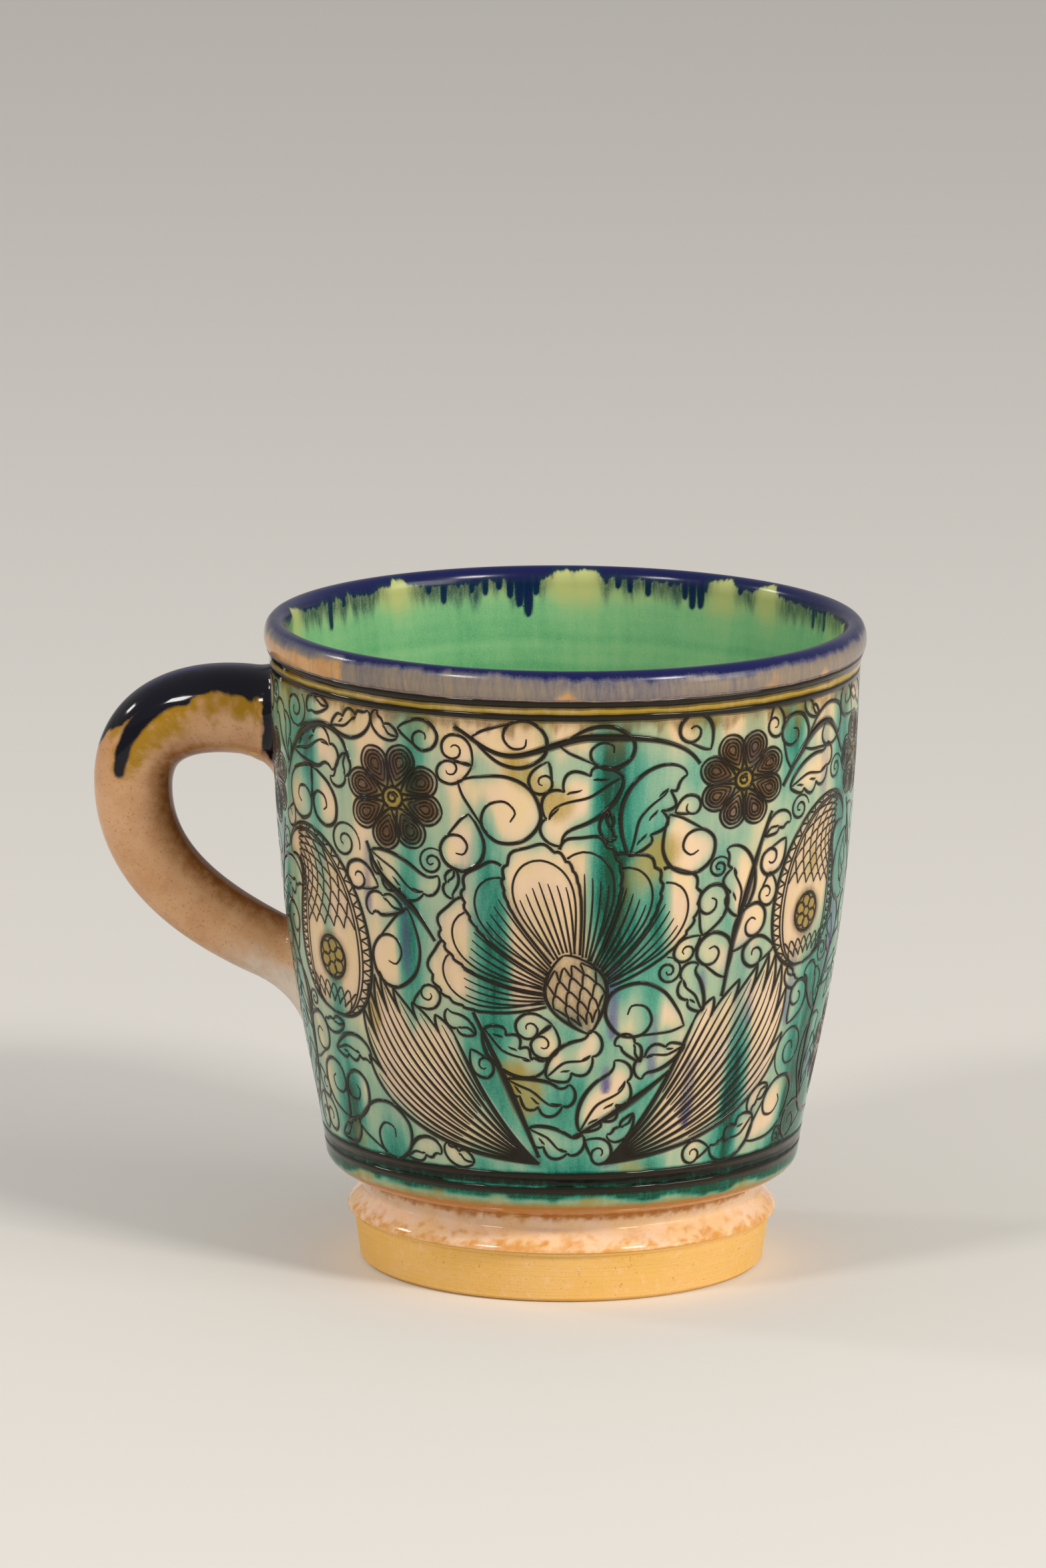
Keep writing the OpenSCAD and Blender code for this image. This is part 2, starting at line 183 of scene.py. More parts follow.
class MugColours(PropertyGroup):
    """Colours of clay, glazes and pigments."""

    bare_clay: colour("Bare clay", "Unglazed foot", "E8B65C")
    clay_dark: colour("Dark clay", "Turning lines and pits in the foot", "B9853F")
    slip: colour("White slip", "Cream ground under the paint", "E7C899")
    slip_pink: colour("Pink slip", "Pinkish patches of the ground", "E9C7A7")
    buff: colour("Buff clay", "Bare patches under the rim", "C08D55")
    buff_pale: colour("Pale buff", "Paler mottling of the bare patches", "CFA26C")
    pale_copper: colour("Thin copper", "Palest blue-green wash", "9FB394")
    mid_copper: colour("Turquoise", "Usual blue-green wash", "569A83")
    deep_copper: colour("Deep turquoise", "Pooled blue-green wash", "167763")
    pool_copper: colour("Emerald", "Thickest blue-green glaze", "03452F")
    manganese: colour("Manganese", "Thin brown wash", "665038")
    ink: colour("Ink", "Painted lines", "1A1508")
    ochre: colour("Ochre", "Yellow ochre wash", "A2862B")
    cobalt_veil: colour("Cobalt veil", "Thin greyish violet cobalt", "8A7D6E")
    drip_violet: colour("Violet drips", "Thin cobalt that has run down the wall", "56537F")
    cobalt_mid: colour("Cobalt", "Violet blue drips", "55556A")
    cobalt: colour("Deep cobalt", "Thick navy glaze on the lip", "10164C")
    lining_pale: colour("Pale lining", "Yellow-green glaze at the rim", "BFC47E")
    lining_green: colour("Lining", "Green glaze inside", "86BE86")
    lining_deep: colour("Deep lining", "Emerald glaze low inside", "459C68")
    drip_blue: colour("Inside drips", "Blue that runs into the green", "0C2F45")
    bead: colour("Bead", "Glossy clay over the foot", "F4CD9A")
    bead_pink: colour("Pink bead", "Pale mottling of the bead", "F6D6B8")
    bead_speck: colour("Bead specks", "Orange specks where the bead's glaze is thin", "DD9A48")
    # Partly the clay's own orange under thin glaze and partly painted shade: the foot's glaze lays it
    # darkest on the shoulder's underside, under the overhang. The bare foot's pits take it too.
    neck: colour("Neck", "Orange clay under the shoulder", "B4722C")
    handle: colour("Handle", "Peach glaze of the handle", "C8976B")
    handle_pale: colour("Pale handle", "Lighter mottling of the handle", "D3A57B")
    # Partly the glaze's own brown-orange and partly painted shade on the handle's hollow inner side, which
    # the loop shades. The specks that take it are the glaze's own.
    handle_brown: colour("Handle brown", "Brown-orange inner side", "874D1C")
    handle_white: colour("Pooled white", "Whitish glaze at the lower joint", "DDCDBD")
    handle_ochre: colour("Handle ochre", "Yellow halo round the dark run", "A4790F")
    handle_black: colour("Handle cobalt", "Blue-black run over the crest", "0A0917")
    # Partly the cobalt's own navy and partly a painted blue sheen: the densest part of the run takes it, on
    # the handle's outer, upward side.
    handle_blue: colour("Handle blue", "Thin edge of the dark run", "1C1B4A")
    floor: colour("Floor", "Pale studio floor", "E4E1DC")


class MugView(PropertyGroup):
    """Camera at the photograph's viewing angle, and the seed of every random draw."""

    azimuth: angle("Azimuth", "Turn of the view about the mug's axis", 8)
    elevation: angle("Elevation", "Height of the view above the horizon", 11.448)
    roll: angle("Roll", "Lean of the camera", 0.33)
    distance: length("Distance", "Distance from the camera to its target", 1600)
    aside: length("Target aside", "Target's distance to the right of the mug's axis", -6.317)
    target_height: length("Target height", "Height of the target", 73.947)
    lens: FloatProperty(name="Lens", description="Focal length", default=240, unit="CAMERA")
    seed: IntProperty(name="Seed", description="Seed of every random draw", default=7)


def in_mm(group):
    """A property group's lengths in millimetres and its angles in radians, by name."""
    sizes = {}
    for key in type(group).__annotations__:
        value = getattr(group, key)
        sizes[key] = value / MM if group.bl_rna.properties[key].unit == "LENGTH" else value
    return type("Sizes", (), sizes)


def cubic(a, b, c, d, steps=40):
    """Points after a on the cubic curve from a to d, drawn towards b and c."""
    t = np.linspace(0, 1, steps + 1)[1:, None]
    return (1 - t) ** 3 * a + 3 * (1 - t) ** 2 * t * b + 3 * (1 - t) * t * t * c + t ** 3 * d


def lengths(line):
    """Distance along a line of points, from its first point to each."""
    return np.concatenate([[0], np.cumsum(np.linalg.norm(np.diff(line, axis=0), axis=1))])


def sample(line, at):
    """Points of a line at distances along it."""
    run = lengths(line)
    return np.stack([np.interp(at, run, line[:, k]) for k in range(line.shape[1])], -1)


def unit(vectors):
    """Vectors along the last axis, made one long."""
    return vectors / np.maximum(np.linalg.norm(vectors, axis=-1, keepdims=True), 1e-12)


def smooth(x, low=0.0, high=1.0):
    """Smooth step from 0 at low to 1 at high."""
    t = np.clip((x - low) / (high - low), 0, 1)
    return t * t * (3 - 2 * t)


def cup_skin(c):
    """The glazed outline as radius and height, from the foot's sharp edge up the outside, over the lip
    and down to the middle of the floor: cubic curves through the bead, the neck, the shoulder, the long
    wall, the flared lip and the inside, whose pulls are shares of the runs they shape."""
    waist_z = c.height - c.lip_height
    wall_h = waist_z - c.shoulder_height
    lip_round = c.lip_thickness / 2
    edge = np.array([c.foot_radius + c.band_flare + c.arris_out, c.band_height + c.arris_rise])
    neck_r = edge[0] - c.neck_depth
    neck_low = np.array([neck_r, c.neck_middle - c.neck_straight / 2])
    neck_high = neck_low + c.neck_straight * UP
    shoulder = np.array([neck_r + c.shoulder_out, c.shoulder_height])
    waist = np.array([c.rim_radius - c.lip_flare, waist_z])
    widest = np.array([c.rim_radius, c.height - 1.5 * lip_round])
    crown = np.array([c.rim_radius - lip_round, c.height])
    inner_lip = widest - c.lip_thickness * OUT
    inner_top = np.array([waist[0] - c.wall_thickness, waist_z - c.lip_height])
    lean = np.array([0.12, 1])
    corner = shoulder * OUT + c.corner_height * lean - c.wall_thickness * OUT + c.floor_height * UP
    low_pull = 0.2 * wall_h * lean
    high_pull = 0.65 * wall_h * np.array([0.026, 1])
    corner_pull = 0.6 * c.corner_height
    floor_edge = np.array([c.floor_radius, c.floor_height])
    bead_rise = neck_low[1] - edge[1]
    rise = shoulder[1] - neck_high[1]
    return np.concatenate([
        [edge],
        cubic(edge, edge + 0.35 * bead_rise * UP, neck_low - 0.2 * bead_rise * UP, neck_low),
        [neck_high],
        cubic(neck_high, neck_high + 0.2 * (shoulder - neck_high), shoulder - 0.69 * rise * UP, shoulder),
        cubic(shoulder, shoulder + low_pull, waist - high_pull, waist, 200),
        cubic(waist, waist + c.lip_height / 2 * UP, widest - lip_round * UP, widest),
        cubic(widest, widest + lip_round * UP, crown + lip_round / 2 * OUT, crown),
        cubic(crown, crown - lip_round / 2 * OUT, inner_lip + lip_round * UP, inner_lip),
        cubic(inner_lip, inner_lip - 3 * UP, inner_top + 3 * UP, inner_top),
        cubic(inner_top, inner_top - high_pull, corner + low_pull, corner, 200),
        cubic(corner, corner - corner_pull * lean, floor_edge + corner_pull * OUT, floor_edge, 80),
        [[0, c.floor_height]],
    ])


class Skin:
    """The cup's outline with the distances along it at which its pieces meet."""

    def __init__(self, cup):
        self.cup = in_mm(cup)
        self.line = cup_skin(self.cup)
        self.run = lengths(self.line)
        self.crown = self.run[np.argmax(self.line[:, 1])]
        rising = self.run <= self.crown
        self.outside = self.line[rising]
        self.end = self.run[-1]
        self.hem = self.run_at(self.cup.hem_height)
        self.wall_top = self.run_at(self.cup.wall_top)
        self.rim_end = self.crown + self.cup.lip_thickness / 2 + self.cup.rim_inside

    def run_at(self, z):
        """Distance along the outside at a height."""
        return np.interp(z, self.outside[:, 1], self.run[:len(self.outside)])

    def radius(self, z):
        """Radius of the outside at a height."""
        return np.interp(z, self.outside[:, 1], self.outside[:, 0])

    def at(self, run):
        """Radius and height at distances along the outline."""
        return np.stack([np.interp(run, self.run, self.line[:, k]) for k in (0, 1)], -1)

    def square_out(self, run):
        """Unit vectors square to the outline, away from the clay."""
        step = 0.05
        along = unit(self.at(np.minimum(run + step, self.end)) - self.at(np.maximum(run - step, 0)))
        return np.stack([along[..., 1], -along[..., 0]], -1)

    def coat(self, first, last, step, back_step):
        """Outline of a coat as a closed loop: the glazed side from first to last, then the clay side back.
        Gives the loop and each point's distance along the skin."""
        front = edged(rows_between(first, last, step))
        back = rows_between(first, last, back_step)[::-1]
        return np.concatenate([self.at(front), self.under(back)]), np.concatenate([front, back])

    def under(self, run):
        """Points on the clay side of a coat. A little less than the full thickness keeps it off the clay."""
        inside = self.at(run) - self.cup.glaze * COAT_SHARE * self.square_out(run)
        inside[:, 0] = np.where(run >= self.end, 0, inside[:, 0])
        return inside


def rows_between(first, last, step):
    """Distances from first to last, evenly spaced by about step."""
    return np.linspace(first, last, max(2, int(round((last - first) / step)) + 1))


def edged(rows):
    """Rows with one more close to each end, which keeps the smooth shading crisp at a coat's edges."""
    return np.concatenate([rows[:1], [rows[0] + EDGE], rows[1:-1], [rows[-1] - EDGE], rows[-1:]])


def new_piece(name, points, faces, replaced=(), uv=None):
    """A shown mesh of points in millimetres. faces is a list of index arrays, quads or triangles. The
    piece rides on the mug and stands for the nodes that it replaces."""
    mesh = bpy.data.meshes.new(name)
    corners = np.concatenate([f.ravel() for f in faces])
    sides = np.concatenate([np.full(len(f), f.shape[1]) for f in faces])
    mesh.vertices.add(len(points))
    mesh.vertices.foreach_set("co", (points * MM).astype(np.float32).ravel())
    mesh.loops.add(len(corners))
    mesh.loops.foreach_set("vertex_index", corners.astype(np.int32))
    mesh.polygons.add(len(sides))
    mesh.polygons.foreach_set("loop_start", (np.cumsum(sides) - sides).astype(np.int32))
    mesh.polygons.foreach_set("use_smooth", np.ones(len(sides), bool))
    if uv is not None:
        layer = mesh.uv_layers.new(name="OFBake")
        layer.uv.foreach_set("vector", uv.astype(np.float32).ravel())
    mesh.update(calc_edges=True)
    mesh.validate()
    piece = bpy.data.objects.new(name, mesh)
    bpy.context.scene.collection.objects.link(piece)
    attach(piece, BODY)
    if replaced:
        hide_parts(*replaced)
    return piece


def paint(piece, pigments, ink=None):
    """Stores the pigments, four numbers a point, and the ink on a piece."""
    layer = piece.data.attributes.new("pigments", "FLOAT_COLOR", "POINT")
    layer.data.foreach_set("color", np.clip(pigments, 0, 1).astype(np.float32).ravel())
    if ink is not None:
        layer = piece.data.attributes.new("ink", "FLOAT", "POINT")
        layer.data.foreach_set("value", np.clip(ink, 0, 1).astype(np.float32).ravel())


def grid_quads(rows, columns, closed_rows):
    """Quads between the points of a grid that wraps along its columns, and along its rows if closed."""
    last = rows if closed_rows else rows - 1
    i = np.arange(last)[:, None]
    j = np.arange(columns)[None, :]
    below = i * columns
    above = (i + 1) % rows * columns
    beside = (j + 1) % columns
    return np.stack([below + j, below + beside, above + beside, above + j], -1).reshape(-1, 4)


def turned_piece(name, loop, columns, replaced):
    """A profile of radius and height turned about the mug's axis: x = r cos a, y = r sin a. A loop that
    starts and ends on the axis is closed there by fans, and any other one joins its last row to its first.
    The map for baking unrolls the piece in two halves, one above the other."""
    turn = TURN * np.arange(columns) / columns
    ring = np.stack([np.cos(turn), np.sin(turn)], -1)
    poled = poled_loop(loop)
    body = loop[1:-1] if poled else loop
    heights = np.broadcast_to(body[:, None, 1:], (len(body), columns, 1))
    points = np.concatenate([body[:, None, :1] * ring, heights], -1).reshape(-1, 3)
    quads = grid_quads(len(body), columns, not poled)
    faces = [quads]
    place = lengths(loop)
    place = place / (place[-1] + (0 if poled else np.linalg.norm(loop[0] - loop[-1])))
    rows = place[1:-1] if poled else place
    rows_end = np.append(rows, 1.0)
    i = np.repeat(np.arange(len(quads) // columns), columns)
    j = np.tile(np.arange(columns), len(quads) // columns)
    u = np.stack([j, j + 1, j + 1, j], -1) / columns
    v = np.stack([rows_end[i], rows_end[i], rows_end[i + 1], rows_end[i + 1]], -1)
    spots = [halves(u, v)]
    if poled:
        j = np.arange(columns)
        beside = (j + 1) % columns
        last = (len(body) - 1) * columns
        low = np.stack([np.full(columns, len(points)), beside, j], -1)
        high = np.stack([last + j, last + beside, np.full(columns, len(points) + 1)], -1)
        points = np.concatenate([points, [[0, 0, loop[0, 1]], [0, 0, loop[-1, 1]]]])
        faces += [low, high]
        middle = (j + 0.5) / columns
        low_u = np.stack([middle, (j + 1) / columns, j / columns], -1)
        high_u = np.stack([j / columns, (j + 1) / columns, middle], -1)
        spots.append(halves(low_u, np.tile([0, rows[0], rows[0]], (columns, 1))))
        spots.append(halves(high_u, np.tile([rows[-1], rows[-1], 1], (columns, 1))))
    if signed_volume(points, faces) < 0:
        faces = [f[:, ::-1] for f in faces]
        spots = [s[:, ::-1] for s in spots]
    return new_piece(name, points, faces, replaced, np.concatenate([s.reshape(-1, 2) for s in spots]))


def halves(u, v):
    """Corners of an unrolled piece, with its two halves stacked."""
    upper = u.mean(1, keepdims=True) > 0.5
    gap = 0.004
    start = np.where(upper, 0.5 + gap / 2, gap / 2)
    return np.stack([np.where(upper, 2 * u - 1, 2 * u), v * (0.5 - gap) + start], -1)


def signed_volume(points, faces):
    """Six times the volume inside the faces, negative where they point inwards."""
    total = 0.0
    for f in faces:
        for k in range(1, f.shape[1] - 1):
            total += np.einsum("ij,ij->", points[f[:, 0]], np.cross(points[f[:, k]], points[f[:, k + 1]]))
    return total


def poled_loop(loop):
    """Whether a loop starts and ends on the axis."""
    return loop[0, 0] < 1e-6 and loop[-1, 0] < 1e-6


def over_columns(per_row, columns, loop):
    """One value a row, laid out as the points of a turned piece."""
    if not poled_loop(loop):
        return np.repeat(per_row, columns)
    return np.concatenate([np.repeat(per_row[1:-1], columns), [per_row[0], per_row[-1]]])


def angles_of(columns, loop):
    """The angle of each point of a turned piece."""
    rows = len(loop) - (2 if poled_loop(loop) else 0)
    turn = np.tile(TURN * np.arange(columns) / columns, rows)
    return np.concatenate([turn, [0, 0]]) if poled_loop(loop) else turn


def field(rng, shape, cells):
    """A smooth random field from 0 to 1 that wraps along its columns: random values on a coarse grid,
    joined by smooth steps."""
    lattice = rng.random((cells[0] + 2, cells[1]))
    v = np.linspace(0, cells[0], shape[0])
    u = np.arange(shape[1]) / shape[1] * cells[1]
    i = v.astype(int)
    j = u.astype(int)
    f = smooth(v - i)[:, None]
    g = smooth(u - j)[None, :]
    beside = (j + 1) % cells[1]
    low = lattice[i][:, j] * (1 - g) + lattice[i][:, beside] * g
    high = lattice[i + 1][:, j] * (1 - g) + lattice[i + 1][:, beside] * g
    return low * (1 - f) + high * f


def rough_field(rng, shape, cells, octaves=3):
    """Several random fields, each twice as fine and half as strong as the one before, from 0 to 1."""
    total = np.zeros(shape)
    weight = 0.0
    for k in range(octaves):
        total += field(rng, shape, (cells[0] * 2 ** k, cells[1] * 2 ** k)) / 2 ** k
        weight += 1 / 2 ** k
    return total / weight


def add(tree, kind, inputs=None, **settings):
    """A new node with its settings made. Inputs that are sockets are linked, and the rest are written."""
    made = tree.nodes.new(kind)
    for key, value in settings.items():
        setattr(made, key, value)
    for key, value in (inputs or {}).items():
        if isinstance(value, bpy.types.NodeSocket):
            tree.links.new(value, made.inputs[key])
        else:
            made.inputs[key].default_value = value
    return made


def calc(tree, operation, a, b=0.0, clamp=False):
    """A sum, product or other operation on two values."""
    return add(tree, "ShaderNodeMath", {0: a, 1: b}, operation=operation, use_clamp=clamp).outputs[0]


def span(tree, value, low, high, to_low=0.0, to_high=1.0):
    """A value drawn smoothly from one range into another."""
    inputs = {"Value": value, "From Min": low, "From Max": high, "To Min": to_low, "To Max": to_high}
    return add(tree, "ShaderNodeMapRange", inputs, interpolation_type="SMOOTHSTEP").outputs[0]


def mixed(tree, share, a, b, blend="MIX"):
    """Two colours mixed by a share."""
    inputs = {0: share, 6: opaque(a), 7: opaque(b)}
    return add(tree, "ShaderNodeMix", inputs, data_type="RGBA", blend_type=blend).outputs[2]


def opaque(value):
    """A colour with an alpha of one, or a socket as it is."""
    return value if isinstance(value, bpy.types.NodeSocket) else (*value[:3], 1.0)


def grain(tree, coords, scale, stretch=(1, 1, 1), detail=2.0):
    """Noise whose scale is in features a metre, drawn out along the axes where stretch is below one."""
    mapped = add(tree, "ShaderNodeMapping", {"Vector": coords, "Scale": stretch}).outputs[0]
    inputs = {"Vector": mapped, "Scale": scale, "Detail": detail, "Roughness": 0.55}
    return add(tree, "ShaderNodeTexNoise", inputs).outputs["Fac"]


def ramp(tree, share, stops):
    """Colours along a share, one for each stop."""
    made = add(tree, "ShaderNodeValToRGB", {"Fac": share})
    elements = made.color_ramp.elements
    while len(elements) < len(stops):
        elements.new(1.0)
    for element, (place, value) in zip(elements, stops):
        element.position = place
        element.color = opaque(value)
    return made.outputs["Color"]


def new_material(name):
    """A new material, its node tree and its shader."""
    material = bpy.data.materials.new(name)
    material.use_nodes = True
    return material, material.node_tree, material.node_tree.nodes["Principled BSDF"]


def painted_glaze(name, ground, washes, roughness=0.1, inked=False, speckle=None, streaks=0.7):
    """A glossy glaze over painted clay. Two ground colours are mottled, then the four pigments are laid
    over them, each broken up by streaks that run down the mug and by a fine grain: washes holds, for each
    pigment, its colours from thin to thick and how it is blended. Ink comes last."""
    material, tree, shader = new_material(name)
    shader.inputs["IOR"].default_value = 1.35
    coords = add(tree, "ShaderNodeTexCoord").outputs["Object"]
    blotch = grain(tree, coords, 160, detail=3.0)
    streak = grain(tree, coords, 900, (1, 1, 0.13), 2.0)
    fine = grain(tree, coords, 4200, detail=2.0)
    paint_node = add(tree, "ShaderNodeAttribute", attribute_name="pigments")
    parts = add(tree, "ShaderNodeSeparateColor", {0: paint_node.outputs["Color"]}).outputs
    channels = [parts[0], parts[1], parts[2], paint_node.outputs["Alpha"]]
    tint = mixed(tree, span(tree, blotch, 0.35, 0.65), ground[0], ground[1])
    if speckle is not None:
        spots = span(tree, grain(tree, coords, 2600, detail=3.0), 0.56, 0.74, 0.0, 0.55)
        tint = mixed(tree, spots, tint, speckle)
    broken = calc(tree, "ADD", calc(tree, "MULTIPLY", streak, streaks), calc(tree, "MULTIPLY", fine, 0.6))
    broken = calc(tree, "ADD", broken, calc(tree, "MULTIPLY", blotch, 0.7 - streaks))
    for channel, (stops, blend) in zip(channels, washes):
        if stops is None:
            continue
        density = calc(tree, "MULTIPLY", channel, calc(tree, "ADD", broken, 0.35), clamp=True)
        tint = mixed(tree, span(tree, density, 0.0, stops[0][0]), tint, ramp(tree, density, stops), blend)
    if inked:
        ink = add(tree, "ShaderNodeAttribute", attribute_name="ink").outputs["Fac"]
        tint = mixed(tree, span(tree, ink, 0.12, 0.5), tint, inked)
    tree.links.new(tint, shader.inputs["Base Color"])
    gloss = span(tree, blotch, 0.3, 0.7, roughness * 0.8, roughness * 1.25)
    tree.links.new(gloss, shader.inputs["Roughness"])
    swell = calc(tree, "ADD", grain(tree, coords, 260, detail=1.0), calc(tree, "MULTIPLY", fine, 0.03))
    bump = add(tree, "ShaderNodeBump", {"Height": swell, "Strength": 0.5, "Distance": 0.00006})
    tree.links.new(bump.outputs[0], shader.inputs["Normal"])
    return material


def one_wash(place, tint, blend="MIX"):
    """A wash of one colour, at full strength from a place on."""
    return [(place, tint), (1.0, tint)], blend


def dress(piece, material):
    """Gives a piece one material."""
    piece.data.materials.clear()
    piece.data.materials.append(material)


def evenly(line, step=STROKE_STEP):
    """A line's points, evenly spaced by about step."""
    total = lengths(line)[-1]
    return sample(line, np.linspace(0, total, max(3, int(round(total / step)) + 1)))


def spline(points, step=STROKE_STEP):
    """A smooth line through points: cubic pieces whose pulls are a sixth of the way between neighbours."""
    p = np.asarray(points, float)
    p = np.concatenate([[2 * p[0] - p[1]], p, [2 * p[-1] - p[-2]]])
    t = np.linspace(0, 1, 25)[:, None]
    a, b, c, d = p[:-3, None], p[1:-2, None], p[2:-1, None], p[3:, None]
    pull_b = b + (c - a) / 6
    pull_c = c - (d - b) / 6
    line = (1 - t) ** 3 * b + 3 * (1 - t) ** 2 * t * pull_b + 3 * (1 - t) * t * t * pull_c + t ** 3 * c
    line = line.reshape(-1, 2)
    keep = np.concatenate([[True], np.linalg.norm(np.diff(line, axis=0), axis=1) > 1e-9])
    return evenly(line[keep], step)


def turned(points, angle):
    """Points turned about the origin."""
    c, s = math.cos(angle), math.sin(angle)
    return points @ np.array([[c, s], [-s, c]])


def arc(centre, radius, first, last, grow=0.0):
    """A round or spiral line: the radius grows by so much over its whole sweep."""
    steps = max(6, int(abs(last - first) * abs(radius) / STROKE_STEP))
    t = np.linspace(0, 1, steps)[:, None]
    a = first + (last - first) * t
    return np.asarray(centre) + (radius + grow * t) * np.concatenate([np.cos(a), np.sin(a)], 1)


def inside(points, outline):
    """Whether points lie inside a closed outline: a level ray crosses an odd number of its sides."""
    x, y = points[..., 0, None], points[..., 1, None]
    x1, y1 = outline[:, 0], outline[:, 1]
    x2, y2 = np.roll(x1, -1), np.roll(y1, -1)
    crosses = (y1 > y) != (y2 > y)
    rise = np.where(y2 == y1, 1e-9, y2 - y1)
    return (crosses & (x < (x2 - x1) * (y - y1) / rise + x1)).sum(-1) % 2 == 1


def open_runs(hidden):
    """First index and end of each run of points that aren't hidden."""
    edges = np.flatnonzero(np.diff(np.concatenate([[True], hidden, [True]]).astype(int)))
    return zip(edges[::2], edges[1::2])


class Drawing:
    """Brush strokes and washes in millimetres on the flat. A stroke is a line with a width at each point,
    and a wash is an outline, a pigment and a strength."""

    def __init__(self):
        self.strokes = []
        self.washes = []

    def line(self, points, width, lift=0.45, lead=0.25):
        """A brush stroke: thin at both ends, where lift is the share of its width that it starts and ends
        with, and widest past its middle by as much as lead says."""
        points = evenly(np.asarray(points, float))
        t = np.linspace(0, 1, len(points))
        swell = np.sin(math.pi * t ** (1 - lead)) ** 0.6
        self.strokes.append((points, width * (lift + (1 - lift) * swell)))

    def wash(self, outline, pigment, strength=1.0):
        """A closed outline filled with a pigment."""
        self.washes.append((np.asarray(outline, float), pigment, strength))

    def add(self, other, at=(0.0, 0.0), angle=0.0, size=1.0, flip=False):
        """Another drawing, flipped, scaled in place but not in stroke width, turned and moved."""
        mirror = np.array([1.0, -1.0 if flip else 1.0])
        for points, width in other.strokes:
            self.strokes.append((turned(points * mirror * size, angle) + np.asarray(at), width))
        for outline, pigment, strength in other.washes:
            self.washes.append((turned(outline * mirror * size, angle) + np.asarray(at), pigment, strength))

    def cut(self, outlines):
        """Leaves out what lies inside closed outlines, and splits the strokes there."""
        kept = []
        for points, width in self.strokes:
            hidden = np.zeros(len(points), bool)
            for outline in outlines:
                low, high = outline.min(0), outline.max(0)
                if (points.max(0) < low).any() or (points.min(0) > high).any():
                    continue
                hidden |= inside(points, outline)
            for first, last in open_runs(hidden):
                if last - first > 3:
                    kept.append((points[first:last], width[first:last]))
        self.strokes = kept
        return self


class Blade:
    """A leaf-like form about a curved spine that starts at the origin along X. The heading turns by bend
    over the spine's length and by curl more, mostly near its tip. A place on it is a share along the
    spine and a share across, from -1 on the right to 1 on the left."""

    def __init__(self, length, width, bend=0.0, curl=0.0, fat=0.4, point=1.0, lobes=(0, 0), depth=0.22):
        self.t = np.linspace(0, 1, 120)
        heading = bend * self.t + curl * self.t ** 4
        step = length / (len(self.t) - 1) * np.stack([np.cos(heading), np.sin(heading)], -1)
        self.spine = np.concatenate([[[0, 0]], np.cumsum((step[1:] + step[:-1]) / 2, axis=0)])
        self.normal = np.stack([-np.sin(heading), np.cos(heading)], -1)
        power = math.log(0.5) / math.log(fat)
        self.half = width / 2 * np.sin(math.pi * self.t ** power) ** point
        self.lobes = lobes
        self.depth = depth

    def at(self, along, across):
        """Points at shares along and across."""
        along, across = np.broadcast_arrays(np.asarray(along, float), np.asarray(across, float))
        spine = np.stack([np.interp(along, self.t, self.spine[:, k]) for k in (0, 1)], -1)
        normal = np.stack([np.interp(along, self.t, self.normal[:, k]) for k in (0, 1)], -1)
        lobes = np.where(across > 0, self.lobes[1], self.lobes[0])
        notch = 1 - np.abs(np.sin(math.pi * lobes * along)) ** 0.7
        edge = 1 - self.depth * notch * np.abs(across) * smooth(along, 0.08, 0.3) * (lobes > 0)
        return spine + normal * (np.interp(along, self.t, self.half) * across * edge)[..., None]

    def side(self, across, first=0.0, last=1.0):
        """A line at one share across."""
        return self.at(np.linspace(first, last, 90), across)

    def outline(self, grow=1.0):
        """The closed outline."""
        return np.concatenate([self.side(grow), self.side(-grow)[::-1]])


def hand(rng, low, high):
    """A random number between two."""
    return low + (high - low) * rng.random()


def reserve_share(rng):
    """How clearly a small leaf is kept free of copper: most are, some stay half green or green."""
    return (1.0, 1.0, 0.85, 0.5, 0.15)[int(rng.integers(0, 5))]


def leaf(rng, size, bend):
    """A half palmette: one plain thick side, one side of two or three round lobes, and a rib that swings
    to a notch and ends in a hook. Its spine bends one way and its tip curls back or on."""
    side = 1 if bend > 0 else -1
    count = 2 + (size > 8) + (size > 12)
    scalloped = -side if rng.random() < 0.5 else side
    lobes = (0, count) if scalloped > 0 else (count, 0)
    curl = side * hand(rng, 1.6, 2.4)
    start = -0.35 * bend if rng.random() < 0.5 else 0.3 * bend
    blade = Blade(size, size * hand(rng, 0.42, 0.52), start, curl, hand(rng, 0.4, 0.55), 0.75, lobes, 0.5)
    drawing = Drawing()
    drawing.line(blade.side(-scalloped), 0.6 if size > 7 else 0.46, 0.4)
    for k in range(count):
        drawing.line(blade.side(scalloped, k / count, (k + 1) / count), 0.46, 0.55)
    notch = (count - 1) / count
    t = np.linspace(0.02, notch, 50)
    sway = -0.2 * np.sin(math.pi * t / notch) + 0.5 * smooth(t / notch, 0.4, 1.0)
    drawing.line(blade.at(t, scalloped * sway), 0.38, 0.4)
    for k in range(1, count):
        t = np.linspace(k / count, max(k / count - 0.13, 0), 12)
        dip = 0.5 - 0.3 * np.sin(np.linspace(0, math.pi / 2, 12))
        drawing.line(blade.at(t, scalloped * dip), 0.34, 0.3)
    drawing.line(arc((0, 0), 0.14, 0, TURN), 0.4, 1.0)
    drawing.wash(blade.outline(), RESERVE, reserve_share(rng))
    return drawing, blade.outline()


